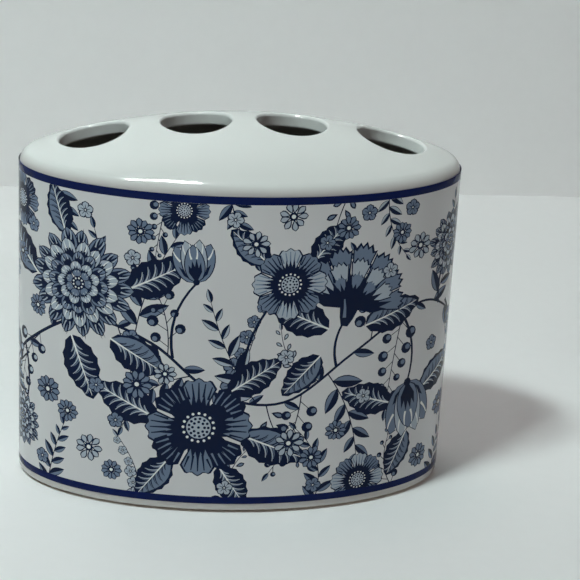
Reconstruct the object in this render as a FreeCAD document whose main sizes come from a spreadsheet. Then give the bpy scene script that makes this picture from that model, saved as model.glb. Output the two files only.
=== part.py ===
# A toothbrush holder for a washstand or basin shelf, at its real size in millimetres.
#
# One slip-cast, glazed ceramic shell has an oval plan, an upright wall and a low domed top
# with four brush holes along its long axis, each cut square to the dome. Two printed bands and
# two floral print sheets are fired onto its wall. A rubber stopper closes the casting hole in the
# floor, so that water can be drained, and four rubber pads under the foot ring keep the ceramic
# off the shelf.
#
# +X runs along the row of holes, the front faces -Y and +Z is up. The origin is on the shelf
# under the middle of the holder.

import FreeCAD, Part
import math
import os
import Sketcher

Vector = FreeCAD.Vector

# Driving dimensions: alias, value in millimetres, meaning.
# An alias that ends in share is a plain ratio of the sizes that its meaning names.
DRIVING_SIZES = (
    ("body_length", "127.0", "width of the ceramic shell across its two ends"),
    ("body_depth", "63.8", "depth of the ceramic shell, front to back"),
    ("rim_height", "98.05", "base of the shell to the edge where wall and dome would meet"),
    ("dome_rise", "10.85", "that edge up to the crown of the dome"),
    ("dome_spread_share", "2.0", "full oval of the dome's curve, against the shell's plan"),
    ("shoulder_radius", "4.6", "rounding between the wall and the dome"),
    ("base_edge_radius", "0.8", "rounding at the foot of the wall"),
    ("wall_thickness", "4.0", "upright wall"),
    ("dome_thickness", "4.0", "domed top"),
    ("floor_thickness", "4.0", "floor of the shell"),
    ("cavity_corner_radius", "3.0", "rounding inside, at the shoulder and at the floor"),
    ("brush_hole_diameter", "20.0", "each of the four brush holes"),
    ("middle_hole_share", "0.2165", "place of the two middle holes along the shell's half length"),
    ("end_hole_share", "0.6748", "place of the two end holes along the shell's half length"),
    ("hole_rim_radius", "0.9", "rounding of each brush hole's upper rim"),
    ("foot_ring_width", "11.0", "ring on which the shell stands, inwards from the wall"),
    ("recess_depth", "2.6", "hollow of the underside inside the foot ring"),
    ("recess_corner_radius", "1.0", "rounding in the corner of that hollow"),
    ("drain_hole_diameter", "22.0", "casting and drain hole in the floor"),
    ("print_thickness", "0.15", "fired-on bands and print sheets"),
    ("print_clearance", "0.05", "inner face of bands and print sheets to the wall"),
    ("band_height", "2.25", "each printed band"),
    ("upper_band_drop", "2.1", "edge of wall and dome down to the top of the upper band"),
    ("base_strip_height", "2.15", "plain strip between the base and the lower band"),
    ("print_seam_gap", "0.4", "between the two print sheets at each end of the oval"),
    ("stopper_clearance", "0.05", "stem of the stopper to the wall of the drain hole"),
    ("stopper_flange_overlap", "3.0", "flange of the stopper beyond the drain hole"),
    ("stopper_flange_thickness", "1.6", "flange of the stopper"),
    ("stopper_stem_reach", "2.0", "stem of the stopper above the floor inside"),
    ("stopper_wall", "2.6", "wall of the hollow stem"),
    ("stopper_lead_in", "1.0", "chamfer round the end of the stem"),
    ("stopper_dish_depth", "0.8", "dish in the flange, on each side of the grip rib"),
    ("stopper_rib_width", "3.0", "grip rib across the dish"),
    ("pad_diameter", "7.0", "each rubber foot pad"),
    ("pad_thickness", "0.9", "height of the pads, and of the shadow gap under the shell"),
    ("pad_edge_radius", "0.25", "rounding round the face of each pad"),
    ("pad_place_share", "0.74", "place of each pad along the middle line of the foot ring"),
    ("cut_overrun", "1.0", "how far a cut runs past the face that it opens"),
)

document = FreeCAD.newDocument("toothbrush_holder")
sheet = document.addObject("Spreadsheet::Sheet", "sizes")
for row, (alias, value, meaning) in enumerate(DRIVING_SIZES, start=1):
    sheet.set(f"A{row}", value)
    sheet.setAlias(f"A{row}", alias)
    sheet.set(f"B{row}", meaning)
document.recompute()


def size(alias):
    """Value of one driving dimension."""
    return float(getattr(sheet, alias))


# Lengths that several features share, each worked out from the driving dimensions
CAVITY_LENGTH = "(sizes.body_length - 2 * sizes.wall_thickness)"
CAVITY_DEPTH = "(sizes.body_depth - 2 * sizes.wall_thickness)"
RECESS_LENGTH = "(sizes.body_length - 2 * sizes.foot_ring_width)"
RECESS_DEPTH = "(sizes.body_depth - 2 * sizes.foot_ring_width)"
FLOOR_TOP = "(sizes.recess_depth + sizes.floor_thickness)"
CROWN_HEIGHT = "(sizes.rim_height + sizes.dome_rise)"
DOME_LENGTH = "(sizes.dome_spread_share * sizes.body_length)"
DOME_DEPTH = "(sizes.dome_spread_share * sizes.body_depth)"
DOME_HALF_HEIGHT = "(sizes.dome_rise / (1 - sqrt(1 - 1 / sizes.dome_spread_share ^ 2)))"
LOWER_BAND_BASE = "sizes.base_strip_height"
UPPER_BAND_TOP = "(sizes.rim_height - sizes.upper_band_drop)"
PRINT_BASE = "(sizes.base_strip_height + sizes.band_height)"
PRINT_HEIGHT = f"({UPPER_BAND_TOP} - sizes.band_height - {PRINT_BASE})"
BACKING_LENGTH = "(sizes.body_length + 2 * sizes.print_clearance)"
BACKING_DEPTH = "(sizes.body_depth + 2 * sizes.print_clearance)"
PRINTED_LENGTH = f"({BACKING_LENGTH} + 2 * sizes.print_thickness)"
PRINTED_DEPTH = f"({BACKING_DEPTH} + 2 * sizes.print_thickness)"
STEM_DIAMETER = "(sizes.drain_hole_diameter - 2 * sizes.stopper_clearance)"
FLANGE_DIAMETER = "(sizes.drain_hole_diameter + 2 * sizes.stopper_flange_overlap)"
BORE_DIAMETER = f"({STEM_DIAMETER} - 2 * sizes.stopper_wall)"
STEM_HEIGHT = "(sizes.floor_thickness + sizes.stopper_stem_reach)"


def evaluate(expression):
    """Number that an expression of the sheet's sizes gives."""
    return float(sheet.evalExpression(expression))


def new_body(label):
    """Start one solid piece; its label names its file."""
    body = document.addObject("PartDesign::Body", label)
    body.Label = label
    return body


def origin_plane(body, role):
    """One of the body's own origin planes, such as XY_Plane."""
    return next(plane for plane in body.Origin.OriginFeatures if plane.Role == role)


def new_sketch(body, name, height="0"):
    """Empty sketch in a level plane of the body, at a height given as an expression."""
    sketch = body.newObject("Sketcher::SketchObject", name)
    sketch.AttachmentSupport = [(origin_plane(body, "XY_Plane"), "")]
    sketch.MapMode = "FlatFace"
    sketch.setExpression("AttachmentOffset.Base.z", height)
    return sketch


def bind(sketch, kind, name, expression, *elements):
    """Add a dimension to a sketch and tie it to the sheet."""
    index = sketch.addConstraint(Sketcher.Constraint(kind, *elements, evaluate(expression)))
    sketch.renameConstraint(index, name)
    sketch.setExpression(f"Constraints.{name}", expression)


def add_oval(sketch, name, length, depth):
    """Ellipse about the origin with its long axis along X."""
    half_length = evaluate(length) / 2
    half_depth = evaluate(depth) / 2
    curve = Part.Ellipse(Vector(half_length, 0, 0), Vector(0, half_depth, 0), Vector(0, 0, 0))
    oval = sketch.addGeometry(curve, False)
    sketch.exposeInternalGeometry(oval)
    long_axis = oval + 1
    short_axis = oval + 2
    sketch.addConstraint(Sketcher.Constraint("Coincident", oval, 3, -1, 1))
    sketch.addConstraint(Sketcher.Constraint("Horizontal", long_axis))
    bind(sketch, "Distance", f"{name}_length", length, long_axis)
    bind(sketch, "Distance", f"{name}_depth", depth, short_axis)


def add_circle(sketch, name, diameter):
    """Circle about the sketch's origin."""
    curve = Part.Circle(Vector(0, 0, 0), Vector(0, 0, 1), evaluate(diameter) / 2)
    circle = sketch.addGeometry(curve, False)
    sketch.addConstraint(Sketcher.Constraint("Coincident", circle, 3, -1, 1))
    bind(sketch, "Diameter", f"{name}_diameter", diameter, circle)


def add_rectangle(sketch, name, low_x, high_x, low_y, high_y):
    """Rectangle with its sides at four places, each an expression."""
    x_values = (evaluate(low_x), evaluate(high_x))
    y_values = (evaluate(low_y), evaluate(high_y))
    corners = [Vector(x_values[i], y_values[j], 0) for i, j in ((0, 0), (1, 0), (1, 1), (0, 1))]
    sides = []
    for start, end in zip(corners, corners[1:] + corners[:1]):
        sides.append(sketch.addGeometry(Part.LineSegment(start, end), False))
    for first, second in zip(sides, sides[1:] + sides[:1]):
        sketch.addConstraint(Sketcher.Constraint("Coincident", first, 2, second, 1))
    for index, direction in enumerate(("Horizontal", "Vertical", "Horizontal", "Vertical")):
        sketch.addConstraint(Sketcher.Constraint(direction, sides[index]))
    bind(sketch, "DistanceX", f"{name}_left", low_x, -1, 1, sides[0], 1)
    bind(sketch, "DistanceX", f"{name}_right", high_x, -1, 1, sides[1], 1)
    bind(sketch, "DistanceY", f"{name}_front", low_y, -1, 1, sides[0], 1)
    bind(sketch, "DistanceY", f"{name}_back", high_y, -1, 1, sides[2], 1)


def pad_up(body, sketch, name, height):
    """Extrude a sketch upwards by a height given as an expression."""
    feature = body.newObject("PartDesign::Pad", name)
    feature.Profile = sketch
    feature.setExpression("Length", height)
    document.recompute()
    return feature


def pocket_up(body, sketch, name, depth=None):
    """Cut a sketch upwards, by a depth or else through all, and check that it cuts."""
    before = body.Shape.Volume
    feature = body.newObject("PartDesign::Pocket", name)
    feature.Profile = sketch
    feature.Reversed = True
    if depth is None:
        feature.Type = "ThroughAll"
    else:
        feature.setExpression("Length", depth)
    document.recompute()
    if not feature.Shape.Volume < before:
        raise RuntimeError(f"{name} cut nothing")
    return feature


def fillet(body, base, name, edges, radius):
    """Round the chosen edges of the body's last feature."""
    if not edges:
        raise RuntimeError(f"{name} found no edge")
    feature = body.newObject("PartDesign::Fillet", name)
    feature.Base = (base, edges)
    feature.setExpression("Radius", radius)
    document.recompute()
    return feature


def level_edges(feature, height):
    """Names of the closed edges that lie in one level plane."""
    level = evaluate(height)
    near = size("print_thickness") / 10
    names = []
    for index, edge in enumerate(feature.Shape.Edges, start=1):
        points = edge.discretize(Number=5)
        if edge.isClosed() and all(abs(point.z - level) < near for point in points):
            names.append((index, edge.Length))
    return names


def outer_edge(feature, height):
    """Name of the longest closed edge in one level plane."""
    index, _ = max(level_edges(feature, height), key=lambda item: item[1])
    return [f"Edge{index}"]


def oval_block(label, length, depth, base, dome_length, dome_depth, dome_half_height, crown):
    """Oval prism under a shallow dome, its edges still sharp.

    The dome is the part of an ellipsoid inside the prism. The ellipsoid lies with its poles on
    the X axis, outside the prism, so that the dome is one smooth face.
    """
    cap = new_body(f"{label}_cap")
    globe = cap.newObject("PartDesign::AdditiveEllipsoid", f"{label}_globe")
    globe.AttachmentSupport = [(origin_plane(cap, "XY_Plane"), "")]
    globe.MapMode = "FlatFace"
    globe.AttachmentOffset = FreeCAD.Placement(Vector(0, 0, 0), FreeCAD.Rotation(Vector(0, 1, 0), 90))
    globe.setExpression("AttachmentOffset.Base.z", f"{crown} - {dome_half_height}")
    globe.setExpression("Radius1", f"{dome_length} / 2")
    globe.setExpression("Radius2", dome_half_height)
    globe.setExpression("Radius3", f"{dome_depth} / 2")
    block = new_body(label)
    outline = new_sketch(block, f"{label}_outline", base)
    add_oval(outline, "oval", length, depth)
    prism = pad_up(block, outline, f"{label}_prism", f"{crown} - {base}")
    common = block.newObject("PartDesign::Boolean", f"{label}_under_dome")
    common.setObjects([cap])
    common.Type = "Common"
    document.recompute()
    if not common.Shape.Volume < prism.Shape.Volume:
        raise RuntimeError(f"{label} has no dome")
    return block, common


def rim_edge(feature):
    """Name of the edge where wall and dome meet: the highest closed edge."""
    highest = 0
    name = None
    for index, edge in enumerate(feature.Shape.Edges, start=1):
        if edge.isClosed() and edge.discretize(Number=3)[0].z > highest:
            highest = edge.discretize(Number=3)[0].z
            name = f"Edge{index}"
    return [name]


def dome_height(x, y):
    """Height of the dome's outer face above a point of the plan."""
    half_height = evaluate(DOME_HALF_HEIGHT)
    along = x / (evaluate(DOME_LENGTH) / 2)
    across = y / (evaluate(DOME_DEPTH) / 2)
    return evaluate(CROWN_HEIGHT) - half_height * (1 - math.sqrt(1 - along ** 2 - across ** 2))


class BrushHole:
    """One brush hole, cut square to the dome at its centre, so that the end holes lean out."""

    def __init__(self, name, side, share):
        self.name = name
        self.side = side
        place = f"({share} / sizes.dome_spread_share)"
        level = f"sqrt(1 - {place} ^ 2)"
        self.offset = f"({share} * sizes.body_length / 2)"
        self.height = f"({CROWN_HEIGHT} - {DOME_HALF_HEIGHT} * (1 - {level}))"
        self.lean = f"atan({DOME_HALF_HEIGHT} * {place} / ({DOME_LENGTH} / 2) / {level})"

    def outline(self, body):
        """Circle under the dome, leaning with the hole, far enough down to clear the ceiling."""
        drop = "(sizes.dome_thickness + sizes.brush_hole_diameter / 2)"
        sketch = new_sketch(body, f"{self.name}_outline")
        turn = FreeCAD.Rotation(Vector(0, self.side, 0), evaluate(self.lean))
        sketch.AttachmentOffset = FreeCAD.Placement(Vector(0, 0, 0), turn)
        sketch.setExpression("AttachmentOffset.Base.x",
                             f"{self.side} * ({self.offset} - {drop} * sin({self.lean}))")
        sketch.setExpression("AttachmentOffset.Base.z", f"{self.height} - {drop} * cos({self.lean})")
        sketch.setExpression("AttachmentOffset.Rotation.Angle", self.lean)
        add_circle(sketch, self.name, "sizes.brush_hole_diameter")
        return sketch

    def rim_edges(self, feature):
        """Names of the edges where this hole's wall meets the dome."""
        radius = size("brush_hole_diameter") / 2
        near = size("dome_thickness") / 10
        lean = math.radians(evaluate(self.lean))
        axis = Vector(self.side * math.sin(lean), 0, math.cos(lean))
        centre = Vector(self.side * evaluate(self.offset), 0, evaluate(self.height))
        names = []
        for index, edge in enumerate(feature.Shape.Edges, start=1):
            points = edge.discretize(Number=9)
            on_wall = all(abs(p.distanceToLine(centre, axis) - radius) < near for p in points)
            if on_wall and all(abs(p.z - dome_height(p.x, p.y)) < near for p in points):
                names.append(f"Edge{index}")
        return names


BRUSH_HOLES = (
    BrushHole("left_end_hole", -1, "sizes.end_hole_share"),
    BrushHole("left_middle_hole", -1, "sizes.middle_hole_share"),
    BrushHole("right_middle_hole", 1, "sizes.middle_hole_share"),
    BrushHole("right_end_hole", 1, "sizes.end_hole_share"),
)


def make_ceramic_body():
    """The cast shell: oval wall, domed top, brush holes, floor, foot ring and drain hole."""
    shell, shell_dome = oval_block("ceramic_body", "sizes.body_length", "sizes.body_depth", "0",
                                   DOME_LENGTH, DOME_DEPTH, DOME_HALF_HEIGHT, CROWN_HEIGHT)
    shoulder = fillet(shell, shell_dome, "shoulder", rim_edge(shell_dome), "sizes.shoulder_radius")

    cavity, cavity_dome = oval_block("cavity", CAVITY_LENGTH, CAVITY_DEPTH, FLOOR_TOP,
                                     f"({DOME_LENGTH} - 2 * sizes.dome_thickness)",
                                     f"({DOME_DEPTH} - 2 * sizes.dome_thickness)",
                                     f"({DOME_HALF_HEIGHT} - sizes.dome_thickness)",
                                     f"({CROWN_HEIGHT} - sizes.dome_thickness)")
    inside_edges = rim_edge(cavity_dome) + outer_edge(cavity_dome, FLOOR_TOP)
    fillet(cavity, cavity_dome, "cavity_corners", inside_edges, "sizes.cavity_corner_radius")

    hollow = shell.newObject("PartDesign::Boolean", "hollow")
    hollow.setObjects([cavity])
    hollow.Type = "Cut"
    document.recompute()
    if not hollow.Shape.Volume < shoulder.Shape.Volume:
        raise RuntimeError("the shell is not hollow")

    base_edge = fillet(shell, hollow, "base_edge", outer_edge(hollow, "0"), "sizes.base_edge_radius")

    recess_outline = new_sketch(shell, "recess_outline")
    add_oval(recess_outline, "recess", RECESS_LENGTH, RECESS_DEPTH)
    recess = pocket_up(shell, recess_outline, "recess", "sizes.recess_depth")
    fillet(shell, recess, "recess_corner", outer_edge(recess, "sizes.recess_depth"),
           "sizes.recess_corner_radius")

    drain_outline = new_sketch(shell, "drain_outline")
    add_circle(drain_outline, "drain", "sizes.drain_hole_diameter")
    pocket_up(shell, drain_outline, "drain_hole", f"{FLOOR_TOP} + sizes.cut_overrun")

    for hole in BRUSH_HOLES:
        pierced = pocket_up(shell, hole.outline(shell), hole.name)
    rims = [edge for hole in BRUSH_HOLES for edge in hole.rim_edges(pierced)]
    fillet(shell, pierced, "hole_rims", rims, "sizes.hole_rim_radius")

    shell.setExpression("Placement.Base.z", "sizes.pad_thickness")
    return shell


def make_oval_ring(label, base, height):
    """Thin printed ring round the wall, from a base height above the shell's base."""
    ring = new_body(label)
    outline = new_sketch(ring, f"{label}_outline", base)
    add_oval(outline, "outside", PRINTED_LENGTH, PRINTED_DEPTH)
    add_oval(outline, "inside", BACKING_LENGTH, BACKING_DEPTH)
    pad_up(ring, outline, f"{label}_ring", height)
    ring.setExpression("Placement.Base.z", "sizes.pad_thickness")
    return ring


def make_print_sheet(label, side):
    """Half of the printed ring between the bands: the front half or the back half."""
    ring = make_oval_ring(label, PRINT_BASE, PRINT_HEIGHT)
    reach = "(sizes.body_length / 2 + sizes.cut_overrun)"
    depth_reach = "(sizes.body_depth / 2 + sizes.cut_overrun)"
    seam = "sizes.print_seam_gap / 2"
    rest = new_sketch(ring, f"{label}_other_half", PRINT_BASE)
    if side == "front":
        add_rectangle(rest, "other", f"-{reach}", reach, f"-{seam}", depth_reach)
    else:
        add_rectangle(rest, "other", f"-{reach}", reach, f"-{depth_reach}", seam)
    pocket_up(ring, rest, f"{label}_half")
    return ring


def make_drain_stopper():
    """Soft stopper: a dished flange with a grip rib under a hollow stem."""
    stopper = new_body("drain_stopper")
    flange_outline = new_sketch(stopper, "flange_outline", "-sizes.stopper_flange_thickness")
    add_circle(flange_outline, "flange", FLANGE_DIAMETER)
    pad_up(stopper, flange_outline, "flange", "sizes.stopper_flange_thickness")
    stem_outline = new_sketch(stopper, "stem_outline")
    add_circle(stem_outline, "stem", STEM_DIAMETER)
    stem = pad_up(stopper, stem_outline, "stem", STEM_HEIGHT)

    lead_in = stopper.newObject("PartDesign::Chamfer", "lead_in")
    lead_in.Base = (stem, outer_edge(stem, STEM_HEIGHT))
    lead_in.setExpression("Size", "sizes.stopper_lead_in")
    document.recompute()

    bore_outline = new_sketch(stopper, "bore_outline")
    add_circle(bore_outline, "bore", BORE_DIAMETER)
    pocket_up(stopper, bore_outline, "bore")

    dish_outline = new_sketch(stopper, "dish_outline", "-sizes.stopper_flange_thickness")
    add_circle(dish_outline, "dish", BORE_DIAMETER)
    pocket_up(stopper, dish_outline, "dish", "sizes.stopper_dish_depth")
    rib_outline = new_sketch(stopper, "rib_outline", "-sizes.stopper_flange_thickness")
    half_width = "sizes.stopper_rib_width / 2"
    half_length = f"({STEM_DIAMETER} / 2 - sizes.stopper_wall / 2)"
    add_rectangle(rib_outline, "rib", f"-{half_length}", half_length, f"-{half_width}", half_width)
    pad_up(stopper, rib_outline, "grip_rib", "sizes.stopper_dish_depth")

    stopper.setExpression("Placement.Base.z", "sizes.pad_thickness + sizes.recess_depth")
    return stopper


def make_foot_pad(label, side, end):
    """Round pad under the middle line of the foot ring, towards one corner."""
    pad = new_body(label)
    outline = new_sketch(pad, f"{label}_outline")
    add_circle(outline, "pad", "sizes.pad_diameter")
    disc = pad_up(pad, outline, f"{label}_disc", "sizes.pad_thickness")
    fillet(pad, disc, f"{label}_edge", outer_edge(disc, "0"), "sizes.pad_edge_radius")
    middle_length = "(sizes.body_length - sizes.foot_ring_width) / 2"
    middle_depth = "(sizes.body_depth - sizes.foot_ring_width) / 2"
    along = "sizes.pad_place_share"
    across = "sqrt(1 - sizes.pad_place_share ^ 2)"
    pad.setExpression("Placement.Base.x", f"{end} * {along} * {middle_length}")
    pad.setExpression("Placement.Base.y", f"{side} * {across} * {middle_depth}")
    return pad


def make_all():
    """Build every piece and return them in the order of assembly."""
    pieces = [make_ceramic_body()]
    pieces.append(make_oval_ring("lower_band", LOWER_BAND_BASE, "sizes.band_height"))
    pieces.append(make_oval_ring("upper_band", f"{UPPER_BAND_TOP} - sizes.band_height",
                                 "sizes.band_height"))
    pieces.append(make_print_sheet("front_print", "front"))
    pieces.append(make_print_sheet("back_print", "back"))
    pieces.append(make_drain_stopper())
    for side_name, side in (("front", -1), ("rear", 1)):
        for end_name, end in (("left", -1), ("right", 1)):
            pieces.append(make_foot_pad(f"foot_pad_{side_name}_{end_name}", side, end))
    return pieces


def check_document():
    """Stop if any feature of the document failed."""
    document.recompute()
    for item in document.Objects:
        if "Invalid" in item.State or "Error" in item.State:
            raise RuntimeError(f"{item.Name} failed: {item.State}")


def check_piece(piece):
    """Stop unless the piece is one valid solid."""
    shape = piece.Shape
    if shape.isNull() or not shape.isValid() or len(shape.Solids) != 1:
        raise RuntimeError(f"{piece.Label} is not one valid solid")


pieces = make_all()
check_document()
for piece in pieces:
    check_piece(piece)
os.makedirs("parts", exist_ok=True)
for piece in pieces:
    piece.Shape.exportStep(os.path.join("parts", f"{piece.Label}.step"))
    print(f"{piece.Label}: {piece.Shape.Volume:.1f} mm3")
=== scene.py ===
"""Looks of an oval toothbrush holder: glazed ceramic shell, printed bands and florals, rubber parts.

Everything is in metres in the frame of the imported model: +X runs along the row of brush holes, the
front faces -Y and +Z is up. The florals are drawn flat in millimetres, as points of the complex
plane, and a node tree wraps them round the oval wall.
"""

import cmath
import logging
import math
import random
from collections.abc import Sequence
from dataclasses import dataclass, field
from enum import Enum

import bpy
import numpy as np
from mathutils import Matrix, Quaternion, Vector
from mathutils.geometry import delaunay_2d_cdt


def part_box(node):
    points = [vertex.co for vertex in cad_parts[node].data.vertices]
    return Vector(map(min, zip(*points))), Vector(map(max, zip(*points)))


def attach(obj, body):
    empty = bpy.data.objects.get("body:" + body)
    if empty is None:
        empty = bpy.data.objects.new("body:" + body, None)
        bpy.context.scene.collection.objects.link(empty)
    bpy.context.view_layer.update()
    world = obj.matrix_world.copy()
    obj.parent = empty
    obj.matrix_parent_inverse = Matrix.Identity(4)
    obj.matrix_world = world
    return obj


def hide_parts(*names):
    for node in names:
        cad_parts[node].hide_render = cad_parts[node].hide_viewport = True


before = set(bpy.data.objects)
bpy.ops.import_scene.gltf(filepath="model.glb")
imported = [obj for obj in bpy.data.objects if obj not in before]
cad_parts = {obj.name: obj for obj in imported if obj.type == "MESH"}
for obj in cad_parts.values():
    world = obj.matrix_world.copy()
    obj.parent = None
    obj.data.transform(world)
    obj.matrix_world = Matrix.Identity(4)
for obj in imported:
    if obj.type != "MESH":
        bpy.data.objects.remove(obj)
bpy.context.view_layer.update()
LOG = logging.getLogger("toothbrush_holder")
MM = 0.001
TURN = 2 * math.pi
RIGHT_ANGLE = math.pi / 2
ARC_SAMPLES = 7201
SLIDE_ROUNDS = 12
ROLL_ROUNDS = 20
OUT, IN = 1, -1
UP, DOWN = 1, -1
TRIANGLE_GAP = 1e-9
TRIANGLE_HEIGHT = math.sqrt(0.75)
DISC_SHARES = (0.66, 0.33)
Path = list[complex]
Colour = tuple[float, float, float]
Place = tuple[float, float, float]
Edges = list[tuple[int, int]]
Ring = tuple[np.ndarray, np.ndarray]
Piece = bpy.types.Object
Finish = bpy.types.Material
Tree = bpy.types.NodeTree
Socket = bpy.types.NodeSocket
Outputs = bpy.types.NodeOutputs


class Body(Enum):
    """The two bodies that a piece can ride on."""

    HOLDER = "holder"
    STOPPER = "stopper"


class Ink(Enum):
    """What a zone of the print shows: bare ground or one of the inks."""

    GROUND = 0
    NAVY = 1
    SLATE = 2
    PALE = 3
    WHITE = 4


def srgb(red: int, green: int, blue: int) -> Colour:
    """Turn a colour of 0 to 255 steps into linear light.

    Args:
        red: red step.
        green: green step.
        blue: blue step.

    Returns:
        The linear red, green and blue.
    """
    def channel(step: int) -> float:
        """Linear value of one channel."""
        share = step / 255
        return share / 12.92 if share <= 0.04045 else ((share + 0.055) / 1.055) ** 2.4
    return channel(red), channel(green), channel(blue)


# Sizes read from the frame


@dataclass(frozen=True)
class Span:
    """Box of one node of the frame, in metres."""

    low: Vector
    high: Vector

    @classmethod
    def of(cls, node: str) -> "Span":
        """Box of the named node at rest."""
        low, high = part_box(node)
        return cls(Vector(low), Vector(high))

    @property
    def half_length(self) -> float:
        """Half of the size along X."""
        return (self.high.x - self.low.x) / 2

    @property
    def half_depth(self) -> float:
        """Half of the size along Y."""
        return (self.high.y - self.low.y) / 2

    @property
    def height(self) -> float:
        """Size along Z."""
        return self.high.z - self.low.z


# Curves and surfaces of the shell


@dataclass(frozen=True)
class Oval:
    """Level ellipse about the middle of the holder, in metres."""

    half_length: float
    half_depth: float

    def points(self, angles: np.ndarray, height: float = 0.0) -> np.ndarray:
        """Points of the oval.

        Args:
            angles: turn from the front middle towards +X, one for each point.
            height: height of all the points.

        Returns:
            One row of x, y and z for each angle.
        """
        x = self.half_length * np.sin(angles)
        y = -self.half_depth * np.cos(angles)
        return np.stack([x, y, np.full_like(x, height)], axis=-1)

    def normals(self, angles: np.ndarray) -> np.ndarray:
        """Outward level normals at the same angles, one row each.

        Args:
            angles: the angles, in radians.

        Returns:
            The normals.
        """
        x = self.half_depth * np.sin(angles)
        y = -self.half_length * np.cos(angles)
        rows = np.stack([x, y, np.zeros_like(x)], axis=-1)
        return rows / np.linalg.norm(rows, axis=1, keepdims=True)

    def arc_table(self) -> tuple[np.ndarray, np.ndarray]:
        """Table of angles, and the length of arc from the front middle to each.

        Returns:
            The angles and the lengths.
        """
        angles = np.linspace(-np.pi, np.pi, ARC_SAMPLES)
        steps = np.linalg.norm(np.diff(self.points(angles), axis=0), axis=1)
        arcs = np.concatenate([[0.0], np.cumsum(steps)])
        return angles, arcs - arcs[-1] / 2

    def angle_at(self, lengths: np.ndarray) -> np.ndarray:
        """Angles of places given by their length of arc from the front middle, right positive."""
        angles, arcs = self.arc_table()
        return np.interp(lengths, arcs, angles)

    def length_at(self, angles: np.ndarray) -> np.ndarray:
        """Length of arc from the front middle to each angle."""
        table, arcs = self.arc_table()
        return np.interp(angles, table, arcs)

    def wall(self, count: int) -> "Wall":
        """Upright wall over a count of even turns of the oval."""
        angles = np.arange(count) * TURN / count
        return Wall(self.points(angles), self.normals(angles))


@dataclass(frozen=True)
class Dome:
    """Upper part of an ellipsoid whose centre lies on the Z axis."""

    half_length: float
    half_depth: float
    half_height: float
    centre_height: float

    def height(self, x: np.ndarray, y: np.ndarray) -> np.ndarray:
        """Height of the surface above each place of the plan."""
        rest = 1 - (x / self.half_length) ** 2 - (y / self.half_depth) ** 2
        return self.centre_height + self.half_height * np.sqrt(np.maximum(rest, 0))

    def gradient(self, points: np.ndarray) -> np.ndarray:
        """Gradient of the ellipsoid's own function at each point, pointing away from its centre."""
        radii = np.array([self.half_length, self.half_depth, self.half_height])
        return 2 * (points - [0, 0, self.centre_height]) / radii ** 2

    def normals(self, points: np.ndarray) -> np.ndarray:
        """Outward normals at points on or near the surface."""
        rows = self.gradient(points)
        return rows / np.linalg.norm(rows, axis=1, keepdims=True)

    def distance(self, points: np.ndarray) -> np.ndarray:
        """Signed distance of points near the surface, positive outside it.

        Args:
            points: places, one row each.

        Returns:
            One distance for each place.
        """
        radii = np.array([self.half_length, self.half_depth, self.half_height])
        level = (((points - [0, 0, self.centre_height]) / radii) ** 2).sum(axis=1) - 1
        return level / np.linalg.norm(self.gradient(points), axis=1)

    def shrunk(self, thickness: float) -> "Dome":
        """The dome that lies one thickness further in."""
        return Dome(self.half_length - thickness, self.half_depth - thickness,
                    self.half_height - thickness, self.centre_height)


def seat_on_line(dome: Dome, starts: np.ndarray, axis: np.ndarray, wanted: float) -> np.ndarray:
    """Slide points along an axis until they lie at a wanted distance from the dome.

    Args:
        dome: the surface.
        starts: one point on each line.
        axis: direction of all the lines, pointing out of the dome.
        wanted: signed distance from the surface, positive outside it.

    Returns:
        The points at that distance.
    """
    slides = np.zeros(len(starts))
    for _ in range(SLIDE_ROUNDS):
        points = starts + slides[:, None] * axis
        slides -= (dome.distance(points) - wanted) / (dome.normals(points) @ axis)
    return starts + slides[:, None] * axis


def fan(first: np.ndarray, second: np.ndarray, steps: int) -> list[np.ndarray]:
    """Unit vectors in even steps along the arcs from the first rows to the second rows, with both ends.

    Args:
        first: unit vectors at the start, one row for each arc.
        second: unit vectors at the end.
        steps: count of steps along each arc.

    Returns:
        One array of rows for each place along the arcs.
    """
    angle = np.arccos(np.clip((first * second).sum(axis=1), -1, 1))[:, None]
    inner = []
    for step in range(1, steps):
        share = step / steps
        rows = np.sin((1 - share) * angle) * first + np.sin(share * angle) * second
        inner.append(rows / np.sin(angle))
    return [first, *inner, second]


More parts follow.
